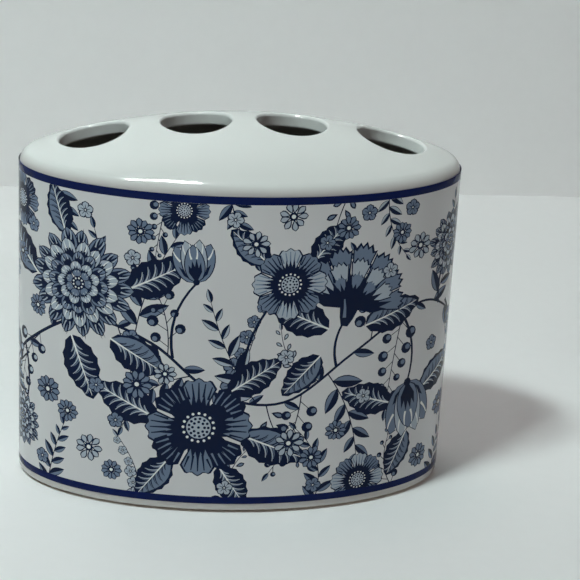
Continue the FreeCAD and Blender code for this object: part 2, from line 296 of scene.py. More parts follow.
@dataclass(frozen=True)
class Wall:
    """Upright wall over a closed level loop: the loop's places, and its outward normals."""

    loop: np.ndarray
    out: np.ndarray

    @classmethod
    def round(cls, radius: float, count: int) -> "Wall":
        """Round wall about the Z axis with a count of points."""
        return Oval(radius, radius).wall(count)

    def ring(self, inset: float, height: float | np.ndarray) -> np.ndarray:
        """Ring of points that lie in from the wall by an inset, at one height or each at its own.

        Args:
            inset: how far in from the wall.
            height: height of all, or of each.

        Returns:
            The points.
        """
        rows = self.loop - inset * self.out
        rows[:, 2] = height
        return rows

    def rows(self, start: float | np.ndarray, end: float | np.ndarray, count: int,
             outward: float) -> list[Ring]:
        """Rings between two heights, without those at the ends.

        Args:
            start: height of the first end, for the whole ring or for each point.
            end: height of the last end.
            count: quads from end to end.
            outward: OUT where the surface faces away from the middle, IN where it faces it.

        Returns:
            Points and normals of each ring.
        """
        heights = [start + (end - start) * row / count for row in range(1, count)]
        return [(self.ring(0.0, height), outward * self.out) for height in heights]

    def rounding(self, radius: float, height: float, outward: float, vertical: float, steps: int,
                 from_wall: bool = True, hollow: bool = False) -> list[Ring]:
        """Rings of a quarter round between the wall and a level face.

        Args:
            radius: radius of the rounding.
            height: height of the level face.
            outward: OUT where the wall's surface faces away from the middle, IN where it faces it.
            vertical: UP where the level face looks up, DOWN where it looks down.
            steps: quads along the rounding.
            from_wall: True to start at the wall, False to start at the level face.
            hollow: True for the round in a corner, whose centre lies in the open space.

        Returns:
            Points and normals of each ring.
        """
        out, up = outward * self.out, np.array([0.0, 0.0, vertical])
        reach = -radius if hollow else radius
        centre = self.ring(0.0, height) - reach * out - reach * up
        rings = []
        for step in range(steps + 1):
            turn = RIGHT_ANGLE * step / steps
            if not from_wall:
                turn = RIGHT_ANGLE - turn
            normal = math.cos(turn) * out + math.sin(turn) * up
            rings.append((centre + reach * normal, normal))
        return rings


# Meshes built ring by ring


class Skin:
    """Closed skin of rings and patches, with the true normal kept at each of its points."""

    def __init__(self) -> None:
        """Start with no points."""
        self.points: list[np.ndarray] = []
        self.normals: list[np.ndarray] = []
        self.faces: list[tuple[int, ...]] = []
        self.slots: list[int] = []
        self.count = 0

    def add(self, points: np.ndarray, normals: np.ndarray) -> np.ndarray:
        """Add points with their normals.

        Args:
            points: places, one row each.
            normals: their normals.

        Returns:
            The numbers of the points.
        """
        self.points.append(np.asarray(points, float))
        self.normals.append(np.broadcast_to(normals, self.points[-1].shape).astype(float))
        numbers = np.arange(self.count, self.count + len(points))
        self.count += len(points)
        return numbers

    def cover(self, faces: np.ndarray, slot: int = 0) -> None:
        """Add faces, given as rows of point numbers, in one material slot."""
        self.faces += [tuple(face) for face in faces.tolist()]
        self.slots += [slot] * len(faces)

    def run(self, rings: Sequence[Ring], start: np.ndarray | None = None,
            slot: int = 0) -> tuple[np.ndarray, np.ndarray]:
        """Add closed rings of equal count in order, each joined with quads to the one before.

        Args:
            rings: points and normals of each ring.
            start: numbers of a ring to join the first one to, if any.
            slot: material slot of the quads.

        Returns:
            The numbers of the first and of the last ring added.
        """
        first, last = None, start
        for points, normals in rings:
            ring = self.add(points, normals)
            if last is not None:
                self.cover(np.column_stack([last, np.roll(last, -1), np.roll(ring, -1), ring]), slot)
            first = ring if first is None else first
            last = ring
        return first, last

    def patch(self, outer: np.ndarray, holes: Sequence[np.ndarray], surface: "Dome | Flat", facing: float,
              pitch: float, margin: float, slot: int = 0) -> None:
        """Fill a surface between an outer ring and hole rings with near-even triangles.

        Args:
            outer: numbers of the ring round the patch.
            holes: numbers of the ring round each hole.
            surface: what the patch lies on.
            facing: OUT or UP for a patch that faces away from the dome's centre or up, IN or DOWN otherwise.
            pitch: spacing of the inner points.
            margin: least distance of an inner point from a ring.
            slot: material slot of the triangles.
        """
        everything = np.concatenate(self.points)
        loops = [outer, *holes]
        outlines = [everything[loop][:, :2] for loop in loops]
        rim = np.concatenate(outlines)

        def within(places: np.ndarray) -> np.ndarray:
            """Say which places lie inside the outer ring and outside every hole.

            Args:
                places: places in the plane.

            Returns:
                True for each place that lies inside.
            """
            keep = inside(places, outlines[0])
            for outline in outlines[1:]:
                keep &= ~inside(places, outline)
            return keep

        reach = np.abs(rim).max(axis=0)
        xs, ys = np.meshgrid(np.arange(-reach[0], reach[0], pitch),
                             np.arange(-reach[1], reach[1], pitch * TRIANGLE_HEIGHT))
        xs[1::2] += pitch / 2
        grid = np.stack([xs.ravel(), ys.ravel()], axis=1)
        grid = grid[within(grid)]
        nearest = np.min(np.linalg.norm(grid[:, None] - rim[None], axis=2), axis=1)
        grid = grid[nearest > margin]
        flat = np.concatenate([rim, grid])
        solid = np.column_stack([grid, surface.height(grid[:, 0], grid[:, 1])])
        numbers = np.concatenate([*loops, self.add(solid, facing * surface.normals(solid))])
        corners, triangles = triangulate(flat, loop_edges([len(loop) for loop in loops]))
        keep = within(flat[corners][triangles].mean(axis=1))
        self.cover(numbers[corners][triangles[keep]], slot)

    def make(self, name: str, finishes: Sequence[Finish]) -> Piece:
        """Make the object, with every face turned the way that its points' normals face.

        Args:
            name: name of the object.
            finishes: materials, in the order of the slots.

        Returns:
            The object, linked to the scene.
        """
        points = np.concatenate(self.points)
        normals = np.concatenate(self.normals)
        faces = []
        for face in self.faces:
            a, b, c = points[face[0]], points[face[1]], points[face[2]]
            turned = np.dot(np.cross(b - a, c - a), normals[list(face)].sum(axis=0)) < 0
            faces.append(face[::-1] if turned else face)
        mesh = bpy.data.meshes.new(name)
        mesh.from_pydata(points.tolist(), [], faces)
        for finish in finishes:
            mesh.materials.append(finish)
        mesh.polygons.foreach_set("material_index", self.slots)
        mesh.polygons.foreach_set("use_smooth", [True] * len(faces))
        mesh.normals_split_custom_set_from_vertices(normals.tolist())
        mesh.update()
        return add_object(name, mesh)


def add_object(name: str, data: bpy.types.ID) -> Piece:
    """New object that shows the data, linked to the scene.

    Args:
        name: name of the object.
        data: mesh, lamp or camera that it shows.

    Returns:
        The object.
    """
    made = bpy.data.objects.new(name, data)
    bpy.context.scene.collection.objects.link(made)
    return made


def inside(places: np.ndarray, loop: np.ndarray) -> np.ndarray:
    """Say which places lie inside a closed loop.

    Args:
        places: rows of x and y.
        loop: rows of x and y round the loop.

    Returns:
        One truth value for each place.
    """
    x, y = places[:, 0][:, None], places[:, 1][:, None]
    x1, y1 = loop[:, 0], loop[:, 1]
    x2, y2 = np.roll(x1, -1), np.roll(y1, -1)
    side = (x2 - x1) * (y - y1) - (x - x1) * (y2 - y1)
    up = (y1 <= y) & (y2 > y) & (side > 0)
    down = (y1 > y) & (y2 <= y) & (side < 0)
    return up.sum(axis=1) != down.sum(axis=1)


def loop_edges(counts: Sequence[int]) -> Edges:
    """Edges round closed loops whose points are numbered one loop after another.

    Args:
        counts: count of points in each loop.

    Returns:
        Pairs of point numbers.
    """
    edges, base = [], 0
    for count in counts:
        edges += [(base + i, base + (i + 1) % count) for i in range(count)]
        base += count
    return edges


def triangulate(places: np.ndarray, edges: Edges) -> tuple[np.ndarray, np.ndarray]:
    """Triangulate places of a plane so that every given edge is kept.

    Args:
        places: rows of x and y, of which none coincide and no edges cross.
        edges: pairs of places that stay joined.

    Returns:
        For each corner of the result the number of its place, and the triangles as rows of corners.
    """
    scale = 1 / np.abs(places).max()
    corners = [Vector((float(x), float(y))) for x, y in places * scale]
    result = delaunay_2d_cdt(corners, list(edges), [], 0, TRIANGLE_GAP, True)
    numbers = np.array([origins[0] for origins in result[3]])
    return numbers, np.array([face for face in result[2] if len(face) == 3])


def cut_plane(places: Sequence[Vector], edges: Edges, gap: float) -> tuple[np.ndarray, np.ndarray]:
    """Triangulate places of a plane along edges that may cross.

    Args:
        places: points of the plane.
        edges: pairs of points, each kept as one or more edges.
        gap: distance under which two points count as one.

    Returns:
        Places, with the crossings added, and the triangles as rows of three places.
    """
    result = delaunay_2d_cdt([Vector(place) for place in places], list(edges), [], 0, gap, False)
    triangles = [face for face in result[2] if len(face) == 3]
    return np.array([tuple(place) for place in result[0]]), np.array(triangles)


def sides_of(triangles: np.ndarray) -> np.ndarray:
    """The sides of triangles, as rows of two places: every first side, then the second and third ones."""
    return np.concatenate([triangles[:, [0, 1]], triangles[:, [1, 2]], triangles[:, [2, 0]]])


# Node trees


def add_socket(tree: Tree, name: str, flow: str, kind: str, default: float | None = None) -> None:
    """Add a socket to a tree's interface.

    Args:
        tree: the tree.
        name: what the socket is called.
        flow: INPUT or OUTPUT.
        kind: type of the socket, such as NodeSocketFloat.
        default: value while nothing is joined to it.
    """
    socket = tree.interface.new_socket(name, in_out=flow, socket_type=kind)
    if default is not None:
        socket.default_value = default


def put(tree: Tree, kind: str, inputs: dict | None = None, **settings: object) -> Outputs:
    """Put a node into a tree.

    Args:
        tree: the tree.
        kind: type of the node.
        inputs: for sockets, by name or number, a value or an output socket to join.
        settings: attributes of the node to set.

    Returns:
        The node's outputs.
    """
    node = tree.nodes.new(kind)
    for name, value in settings.items():
        setattr(node, name, value)
    for key, value in (inputs or {}).items():
        if isinstance(value, Socket):
            tree.links.new(value, node.inputs[key])
        else:
            node.inputs[key].default_value = value
    return node.outputs


def sum_of(tree: Tree, operation: str, *values: object) -> Socket:
    """Result of one Math node.

    Args:
        tree: the tree.
        operation: what the node works out, such as MULTIPLY.
        values: numbers or output sockets, in order.

    Returns:
        The node's output.
    """
    return put(tree, "ShaderNodeMath", dict(enumerate(values)), operation=operation)[0]


def noise_over(tree: Tree, place: Socket, scale: float, detail: float, roughness: float = 0.5) -> Socket:
    """Noise from 0 to 1 over a surface.

    Args:
        tree: the tree.
        place: coordinates of the surface, in metres.
        scale: features to the metre.
        detail: octaves of finer noise.
        roughness: strength of the finer noise.

    Returns:
        The noise texture's output.
    """
    return put(tree, "ShaderNodeTexNoise",
               {"Vector": place, "Scale": scale, "Detail": detail, "Roughness": roughness})["Fac"]


def shape_tree(name: str, sizes: Sequence[str]) -> tuple[Tree, Outputs]:
    """New geometry tree with a geometry input and output and named sizes.

    Args:
        name: name of the tree.
        sizes: names of the number inputs.

    Returns:
        The tree, and the sockets that bring its inputs.
    """
    tree = bpy.data.node_groups.new(name, "GeometryNodeTree")
    add_socket(tree, "Geometry", "INPUT", "NodeSocketGeometry")
    for size in sizes:
        add_socket(tree, size, "INPUT", "NodeSocketFloat")
    add_socket(tree, "Geometry", "OUTPUT", "NodeSocketGeometry")
    return tree, put(tree, "NodeGroupInput")


def place_parts(tree: Tree) -> Outputs:
    """The x, y and z of each point's own place."""
    place = put(tree, "GeometryNodeInputPosition")[0]
    return put(tree, "ShaderNodeSeparateXYZ", {0: place})


def end_tree(tree: Tree, shape: Socket, finish: Finish) -> Tree:
    """End a geometry tree in one plain mesh with one material.

    Args:
        tree: the tree.
        shape: the geometry to put out.
        finish: its material.

    Returns:
        The tree.
    """
    real = put(tree, "GeometryNodeRealizeInstances", {"Geometry": shape})
    dressed = put(tree, "GeometryNodeSetMaterial", {"Geometry": real[0], "Material": finish})
    put(tree, "NodeGroupOutput", {0: dressed[0]})
    return tree


def run_tree(piece: Piece, tree: Tree, sizes: dict[str, float]) -> None:
    """Run a geometry tree on a piece and keep its result as the piece's plain mesh.

    Args:
        piece: the object whose mesh goes into the tree.
        tree: the geometry tree.
        sizes: value of each number input, by its name.
    """
    modifier = piece.modifiers.new(tree.name, "NODES")
    modifier.node_group = tree
    for socket in tree.interface.items_tree:
        if socket.name in sizes:
            modifier[socket.identifier] = sizes[socket.name]
    graph = bpy.context.evaluated_depsgraph_get()
    made = bpy.data.meshes.new_from_object(piece.evaluated_get(graph))
    piece.modifiers.remove(modifier)
    drop_empty_slot(made)
    old = piece.data
    piece.data = made
    bpy.data.meshes.remove(old)
    made.name = piece.name


def drop_empty_slot(mesh: bpy.types.Mesh) -> None:
    """Remove the empty first material slot that a geometry tree leaves.

    Args:
        mesh: the mesh that the tree gave.
    """
    if len(mesh.materials) < 2 or mesh.materials[0] is not None:
        return
    slots = np.zeros(len(mesh.polygons), int)
    mesh.polygons.foreach_get("material_index", slots)
    finishes = list(mesh.materials)[1:]
    mesh.materials.clear()
    for finish in finishes:
        mesh.materials.append(finish)
    mesh.polygons.foreach_set("material_index", (slots - 1).tolist())


# Finishes


@dataclass(frozen=True)
class GlazeSkin:
    """What glazed ceramic shows up close: clouds, pinholes, uneven gloss and slight waves.

    Scales are features to the metre.
    """

    cloud_scale: float = 34.0
    wave_scale: float = 60.0
    pinhole_scale: float = 190.0
    grain_scale: float = 900.0
    rare_above: float = 0.93
    sheen_spread: float = 0.06
    grain_height: float = 0.02
    pinhole_depth: float = 0.08
    relief: float = 0.4 * MM

    def make(self) -> Tree:
        """Make the shader group.

        Returns:
            A group with the inputs Base Roughness, Speck Size in metres and Waviness. It puts out
            Cloud, a slow change of tone from 0 to 1; Speck, a mask of pinholes; Sheen, an uneven
            roughness; and Normal.
        """
        tree = bpy.data.node_groups.new("glaze_skin", "ShaderNodeTree")
        for name in ("Base Roughness", "Speck Size", "Waviness"):
            add_socket(tree, name, "INPUT", "NodeSocketFloat")
        for name in ("Cloud", "Speck", "Sheen"):
            add_socket(tree, name, "OUTPUT", "NodeSocketFloat")
        add_socket(tree, "Normal", "OUTPUT", "NodeSocketVector")
        given = put(tree, "NodeGroupInput")
        place = put(tree, "ShaderNodeTexCoord")["Object"]
        cloud = noise_over(tree, place, self.cloud_scale, 3.0, 0.55)
        grain = noise_over(tree, place, self.grain_scale, 2.0)
        waves = noise_over(tree, place, self.wave_scale, 2.0, 0.4)
        cells = put(tree, "ShaderNodeTexVoronoi",
                    {"Vector": place, "Scale": self.pinhole_scale}, feature="F1")
        chance = put(tree, "ShaderNodeSeparateColor", {0: cells["Color"]})[0]
        rare = sum_of(tree, "GREATER_THAN", chance, self.rare_above)
        reach = sum_of(tree, "MULTIPLY", given["Speck Size"], self.pinhole_scale)
        speck = sum_of(tree, "MULTIPLY", rare, sum_of(tree, "LESS_THAN", cells["Distance"], reach))
        sheen = sum_of(tree, "MULTIPLY_ADD", cloud, self.sheen_spread, given["Base Roughness"])
        height = sum_of(tree, "MULTIPLY_ADD", grain, self.grain_height, waves)
        height = sum_of(tree, "MULTIPLY_ADD", speck, -self.pinhole_depth, height)
        bump = put(tree, "ShaderNodeBump",
                   {"Strength": given["Waviness"], "Distance": self.relief, "Height": height})
        put(tree, "NodeGroupOutput",
            {"Cloud": cloud, "Speck": speck, "Sheen": sheen, "Normal": bump["Normal"]})
        return tree


def new_material(name: str) -> tuple[Finish, bpy.types.Node]:
    """New node material that has only a Principled shader, and that shader.

    Args:
        name: name of the material.

    Returns:
        The material and its shader.
    """
    material = bpy.data.materials.new(name)
    material.use_nodes = True
    return material, material.node_tree.nodes["Principled BSDF"]


def colour_mix(tree: Tree, share: Socket, first: Colour | Socket, second: Colour | Socket) -> Socket:
    """Mix of two colours.

    Args:
        tree: the tree.
        share: how much of the second colour shows.
        first: colour at a share of 0, as three numbers or an output.
        second: colour at a share of 1.

    Returns:
        The mixed colour.
    """
    def whole(colour: Colour | Socket) -> object:
        """Colour with its alpha, or the socket as it is."""
        return colour if isinstance(colour, Socket) else (*colour, 1.0)
    return put(tree, "ShaderNodeMix", {0: share, 6: whole(first), 7: whole(second)}, data_type="RGBA")[2]


@dataclass(frozen=True)
class Glaze:
    """Glossy fired surface: a colour, how far it clouds, its pinholes, and a darker colour painted below a
    height as shade.
    """

    name: str
    colour: Colour
    clouded: Colour
    speck: Colour
    roughness: float = 0.06
    mirror: float = 0.5
    speck_size: float = 0.12 * MM
    waviness: float = 0.25
    # Painted shade: a darker colour below a height, with that height and the fade above it
    painted_shade_colour: Colour | None = None
    painted_shade_below: float = 97.5 * MM
    painted_shade_fade: float = 2.0 * MM

    def make(self, skin: Tree) -> Finish:
        """Make the material.

        Args:
            skin: the shared glaze group.

        Returns:
            The material.
        """
        material, shader = new_material(self.name)
        tree = material.node_tree
        group = put(tree, "ShaderNodeGroup",
                    {"Base Roughness": self.roughness, "Speck Size": self.speck_size,
                     "Waviness": self.waviness}, node_tree=skin)
        tone = colour_mix(tree, group["Cloud"], self.colour, self.clouded)
        tone = colour_mix(tree, group["Speck"], tone, self.speck)
        # Painted shade: the glaze turns darker below the shoulder, standing in for the shade on the wall and
        # the base strip
        if self.painted_shade_colour is not None:
            tone = colour_mix(tree, self.painted_shade_share(tree), tone, self.painted_shade_colour)
        tree.links.new(tone, shader.inputs["Base Color"])
        tree.links.new(group["Sheen"], shader.inputs["Roughness"])
        tree.links.new(group["Normal"], shader.inputs["Normal"])
        shader.inputs["Specular IOR Level"].default_value = self.mirror
        return material

    def painted_shade_share(self, tree: Tree) -> Socket:
        """Share of the painted shade colour at each height, from 0 above to 1 below.

        Args:
            tree: tree of the material.

        Returns:
            The share.
        """
        place = put(tree, "ShaderNodeTexCoord")["Object"]
        height = put(tree, "ShaderNodeSeparateXYZ", {0: place})[2]
        span = {0: height, 1: self.painted_shade_below, 2: self.painted_shade_below + self.painted_shade_fade, 3: 1.0, 4: 0.0}
        return put(tree, "ShaderNodeMapRange", span)[0]


@dataclass(frozen=True)
class Matte:
    """Dull surface with a fine grain, such as rubber or the unglazed foot."""

    name: str
    colour: Colour
    worn: Colour
    roughness: float
    grain: float
    blotch_scale: float = 220.0
    grain_scale: float = 2600.0
    relief: float = 0.1 * MM

    def make(self) -> Finish:
        """Make the material.

        Returns:
            The material.
        """
        material, shader = new_material(self.name)
        tree = material.node_tree
        place = put(tree, "ShaderNodeTexCoord")["Object"]
        blotch = noise_over(tree, place, self.blotch_scale, 4.0)
        fine = noise_over(tree, place, self.grain_scale, 2.0)
        bump = put(tree, "ShaderNodeBump", {"Strength": self.grain, "Distance": self.relief, "Height": fine})
        tree.links.new(colour_mix(tree, blotch, self.colour, self.worn), shader.inputs["Base Color"])
        tree.links.new(bump["Normal"], shader.inputs["Normal"])
        shader.inputs["Roughness"].default_value = self.roughness
        return material


# The second, darker colour of the white glaze is painted shade on the wall below the shoulder and on the base
# strip
WHITE_GLAZE = Glaze("white_glaze", srgb(226, 229, 226), srgb(220, 224, 221), srgb(190, 188, 180),
                    painted_shade_colour=srgb(196, 193, 190))
# Darker, rougher glaze on the cavity's walls, ceiling and floor
DARKER_CAVITY_GLAZE = Glaze("darker_cavity_glaze", srgb(172, 170, 164), srgb(158, 156, 150), srgb(120, 117, 110),
                     roughness=0.3)
NAVY_BAND = Glaze("navy_band", srgb(6, 26, 84), srgb(3, 19, 68), srgb(220, 222, 222), mirror=0.1)
PRINT_FINISHES = {
    Ink.GROUND: Glaze("print_ground", srgb(213, 213, 214), srgb(207, 207, 208), srgb(196, 192, 186)),
    Ink.NAVY: Glaze("print_navy", srgb(12, 28, 60), srgb(6, 20, 48), srgb(60, 70, 110), mirror=0.1),
    Ink.SLATE: Glaze("print_slate", srgb(113, 129, 151), srgb(96, 112, 137), srgb(150, 160, 184),
                     mirror=0.25),
    Ink.PALE: Glaze("print_pale", srgb(172, 182, 194), srgb(160, 172, 186), srgb(196, 202, 210),
                    mirror=0.4),
    Ink.WHITE: Glaze("print_white", srgb(229, 232, 230), srgb(223, 227, 225), srgb(210, 210, 206)),
}
# Unglazed foot colour, darkened in part as painted shade so that the gap under the base reads dark
BISCUIT_AND_PAINTED_SHADE = Matte("unglazed_foot_and_painted_shade", srgb(168, 158, 142), srgb(148, 138, 122), 0.85, 0.6)
STOPPER_RUBBER = Matte("off_white_stopper_rubber", srgb(206, 205, 200), srgb(196, 195, 190), 0.6, 0.3)
PAD_RUBBER = Matte("grey_pad_rubber", srgb(172, 171, 168), srgb(158, 157, 154), 0.7, 0.4)


# The florals, drawn flat in millimetres

DOT_SIDES = 6
NO_LENGTH = 1e-9
LEAF_BELLY = 0.85
LEAF_TIP = 0.85
PETAL_HEEL = 0.12
TONE_HEEL = 0.16
VINE_LEAF_STEP = 4
VINE_REACH = 9.0
# Reach, count of petals, their width, tone and shade, for each ring from the outside in
DAHLIA_RINGS = ((1.0, 17, 0.30, Ink.SLATE, 0.72), (0.80, 15, 0.29, Ink.PALE, 0.55),
                (0.60, 12, 0.27, Ink.SLATE, 0.62), (0.42, 9, 0.24, Ink.PALE, 0.4),
                (0.26, 7, 0.18, Ink.SLATE, 0.0))
# Reach, count of petals, half angle of the fan and tone, for each tier from the back
CARNATION_TIERS = ((1.0, 7, 1.25, Ink.SLATE), (0.78, 5, 0.95, Ink.PALE), (0.55, 3, 0.55, Ink.SLATE))
CARNATION_CUP_SIDE = (-0.12 + 0.05j, 0.10j, 0.2 + 0.15j, 0.36 + 0.20j, 0.30 + 0.08j)
# Turn, width, tone and reach of each petal from the back
TULIP_PETALS = ((0.42, 0.5, Ink.SLATE, 0.95), (-0.42, 0.5, Ink.SLATE, 0.95), (0.16, 0.42, Ink.PALE, 1.0),
                (-0.16, 0.42, Ink.PALE, 1.0), (0.0, 0.46, Ink.SLATE, 0.88))


@dataclass
class Drawing:
    """Flat drawing in painter's order: each patch is an ink and the outline that it fills."""

    patches: list[tuple[Ink, Path]] = field(default_factory=list)

    def fill(self, ink: Ink, outline: Path) -> None:
        """Fill an outline with an ink."""
        self.patches.append((ink, list(outline)))

    def dots(self, ink: Ink, count: int, reach: float, size: float) -> None:
        """Set a ring of small dots about the origin."""
        for index in range(count):
            self.fill(ink, disc(size, DOT_SIDES, cmath.rect(reach, TURN * index / count)))

    def place(self, other: "Drawing", at: complex = 0j, turn: float = 0.0,
              mirror: bool = False) -> None:
        """Place a copy of another drawing on top of this one.

        Args:
            other: the drawing to copy.
            at: where its origin goes.
            turn: its turn, in radians.
            mirror: True to flip it about its own X axis first.
        """
        spin = cmath.rect(1.0, turn)
        for ink, outline in other.patches:
            points = [point.conjugate() for point in outline] if mirror else outline
            self.patches.append((ink, [at + spin * point for point in points]))


def bow_path(start: complex, end: complex, bow: float, steps: int = 8) -> Path:
    """Path that bows to its left.

    Args:
        start: first point.
        end: last point.
        bow: height of the bow, as a share of the straight length.
        steps: count of steps along the path.

    Returns:
        The points of the path.
    """
    span = end - start
    side = 1j * span * bow * 4 / 3
    first, second = start + span / 3 + side, start + span * 2 / 3 + side
    path = []
    for step in range(steps + 1):
        t = step / steps
        u = 1 - t
        path.append(start * u ** 3 + 3 * first * u * u * t + 3 * second * u * t * t + end * t ** 3)
    return path


def wave_path(knots: Sequence[complex], steps: int = 8) -> Path:
    """Smooth path through all the knots, with a count of steps between each two.

    Args:
        knots: places that the path passes.
        steps: count of steps between each two.

    Returns:
        The points of the path.
    """
    ends = [2 * knots[0] - knots[1], *knots, 2 * knots[-1] - knots[-2]]
    path = []
    for before, start, end, after in zip(ends, ends[1:], ends[2:], ends[3:]):
        for step in range(steps):
            t = step / steps
            path.append(0.5 * (2 * start + (end - before) * t
                               + (2 * before - 5 * start + 4 * end - after) * t * t
                               + (3 * start - before - 3 * end + after) * t ** 3))
    path.append(knots[-1])
    return path


def brush_stroke(path: Path, width: float, tip: float = 0.2) -> Path:
    """Outline of a stroke along a path.

    Args:
        path: middle of the stroke.
        width: width at its start.
        tip: width at its end, as a share of the start's.

    Returns:
        The outline.
    """
    left, right = [], []
    last = len(path) - 1
    for index, point in enumerate(path):
        step = path[min(index + 1, last)] - path[max(index - 1, 0)]
        side = 1j * step / abs(step) * width / 2 * (1 + (tip - 1) * index / last)
        left.append(point + side)
        right.append(point - side)
    return left + right[::-1]


def blade(length: float, width: float, belly: float, tip: float, steps: int = 8) -> Path:
    """Petal or leaf outline from the origin along +X.

    Args:
        length: length of the blade.
        width: greatest width.
        belly: above 1 to move the widest place outwards, below 1 to move it in.
        tip: below 1 for fuller ends, 1 for pointed ones.
        steps: count of steps along each side.

    Returns:
        The outline.
    """
    side = []
    for step in range(steps + 1):
        t = step / steps
        half = width / 2 * math.sin(math.pi * t ** belly) ** tip if 0 < step < steps else 0.0
        side.append(complex(length * t, half))
    return side + [point.conjugate() for point in reversed(side[1:-1])]


def toothed(outline: Path, depth: float) -> Path:
    """Outline with every second point pushed inwards, for a toothed margin.

    Args:
        outline: outline to cut.
        depth: depth of the teeth.

    Returns:
        The outline.
    """
    result = []
    for index, point in enumerate(outline):
        step = outline[(index + 1) % len(outline)] - outline[index - 1]
        notch = 1j * step / abs(step) * depth if index % 2 and abs(step) > NO_LENGTH else 0
        result.append(point + notch)
    return result


def comb(length: float, width: float, teeth: int, rng: random.Random) -> Path:
    """Fan of shade at a petal's base whose outer edge is cut into teeth.

    Args:
        length: reach of the fan.
        width: width of the petal there.
        teeth: count of teeth.
        rng: source of the uneven reach.

    Returns:
        The outline.
    """
    falling_off, tooth, spread = 0.32, 0.45, 0.45
    outline = [0j]
    for index in range(2 * teeth + 1):
        share = index / teeth - 1
        reach = length * (1 - falling_off * share * share)
        if index % 2:
            reach *= 1 + tooth * rng.uniform(0.6, 1.25)
        outline.append(complex(reach, spread * width * share * (0.55 + 0.45 * reach / length)))
    return outline


def disc(radius: float, sides: int, at: complex = 0j) -> Path:
    """Outline of a round dot."""
    return [at + cmath.rect(radius, TURN * index / sides) for index in range(sides)]


def turned(outline: Path, angle: float, at: complex = 0j) -> Path:
    """Outline turned about the origin and then moved."""
    spin = cmath.rect(1.0, angle)
    return [at + point * spin for point in outline]


def inset(outline: Path, size: float, along: float, across: float) -> Path:
    """Smaller copy of a broad petal's outline, for the tone inside its dark edge.

    Args:
        outline: outline of a petal that starts at PETAL_HEEL times the size.
        size: size of the bloom.
        along: scale along the petal.
        across: scale across it.

    Returns:
        The outline, which starts at TONE_HEEL times the size.
    """
    return [complex(TONE_HEEL * size + (p.real - PETAL_HEEL * size) * along, p.imag * across)
            for p in outline]


def petal(length: float, width: float, tone: Ink, glint: Ink, shade: float, rng: random.Random,
          belly: float = 1.25) -> Drawing:
    """One petal: navy edge, a tone, toothed shade at its base and two light streaks.

    Args:
        length: length of the petal.
        width: its greatest width.
        tone: ink of the petal.
        glint: ink of the streaks.
        shade: reach of the shade, as a share of the length, or 0 for none.
        rng: source of uneven edges.
        belly: where the petal is widest.

    Returns:
        The drawing, along +X.
    """
    edge = 0.28
    drawing = Drawing()
    outline = blade(length, width, belly, 0.6)
    drawing.fill(Ink.NAVY, outline)
    drawing.fill(tone, [complex(p.real * (1 - 1.6 * edge / length) + edge * 0.6,
                                p.imag * (1 - 2.2 * edge / width)) for p in outline])
    if shade:
        drawing.fill(Ink.NAVY, comb(length * shade, width * 0.8, 4, rng))
    for side in (-1, 1):
        low = complex(length * 0.62, side * width * 0.12)
        high = complex(length * 0.9, side * width * 0.17)
        drawing.fill(glint, brush_stroke(bow_path(low, high, 0.06 * side, 3), width * 0.09, 0.4))
    return drawing


def dahlia(radius: float, rng: random.Random) -> Drawing:
    """Many-rayed bloom seen from the front: rings of petals round a dark eye.

    Args:
        radius: radius of the bloom.
        rng: source of the uneven parts.

    Returns:
        The drawing, about its middle.
    """
    drawing = Drawing()
    for ring, (reach, count, width, tone, shade) in enumerate(DAHLIA_RINGS):
        for index in range(count):
            angle = TURN * (index + 0.5 * (ring % 2) + rng.uniform(-0.12, 0.12)) / count
            long = radius * reach * rng.uniform(0.94, 1.03)
            glint = Ink.WHITE if tone is Ink.PALE else Ink.PALE
            ray = petal(long * 0.62, radius * width * rng.uniform(0.92, 1.08), tone, glint, shade, rng)
            drawing.place(ray, cmath.rect(long * 0.38, angle), angle)
    drawing.fill(Ink.NAVY, disc(radius * 0.13, 14))
    drawing.dots(Ink.WHITE, 9, radius * 0.09, radius * 0.018)
    drawing.fill(Ink.SLATE, disc(radius * 0.045, 8))
    return drawing


def cosmos(radius: float, rng: random.Random, deep: bool = False) -> Drawing:
    """Open bloom of broad ribbed petals round a pale disc with rings of dots.

    Args:
        radius: radius of the bloom.
        rng: source of the uneven petals.
        deep: True for navy petals over slate ones.

    Returns:
        The drawing, about its middle.
    """
    drawing = Drawing()
    petals, ribs_across, dot = 8, 5, 0.030 * radius
    tones = (Ink.SLATE, Ink.NAVY) if deep else (Ink.PALE, Ink.SLATE)
    ribs = (Ink.NAVY, Ink.SLATE) if deep else (Ink.SLATE, Ink.NAVY)
    wide = radius * 0.98 * TURN / petals
    for layer in (0, 1):
        for index in range(layer, petals, 2):
            angle = TURN * (index + rng.uniform(-0.08, 0.08)) / petals
            outline = [complex(PETAL_HEEL * radius, 0)]
            for step in range(15):
                share = step / 7 - 1
                reach = 1.0 - 0.16 * abs(share) ** 2.5 + 0.035 * math.cos(3 * math.pi * share)
                outline.append(complex(radius * reach, wide * 0.5 * share * (1 - 0.1 * abs(share))))
            drawing.fill(Ink.NAVY, turned(outline, angle))
            drawing.fill(tones[layer], turned(inset(outline, radius, 0.93, 0.87), angle))
            for rib in range(ribs_across):
                share = (rib - 2) / 2.4
                high = complex(radius * 0.93 * (1 - 0.13 * share * share), wide * 0.40 * share)
                low = complex(radius * rng.uniform(0.55, 0.66), wide * 0.27 * share)
                line = brush_stroke([high, (high + low) / 2, low], radius * 0.02, 2.2)
                drawing.fill(ribs[layer], turned(line, angle))
            drawing.fill(Ink.NAVY, turned(comb(radius * 0.52, wide * 0.7, 5, rng), angle))
    drawing.fill(Ink.NAVY, disc(radius * 0.34, 22))
    drawing.dots(Ink.WHITE, 16, radius * 0.295, dot)
    drawing.fill(Ink.PALE, disc(radius * 0.235, 20))
    for count, reach in ((13, 0.185), (8, 0.115), (1, 0.0)):
        drawing.dots(Ink.NAVY, count, radius * reach, dot)
    return drawing


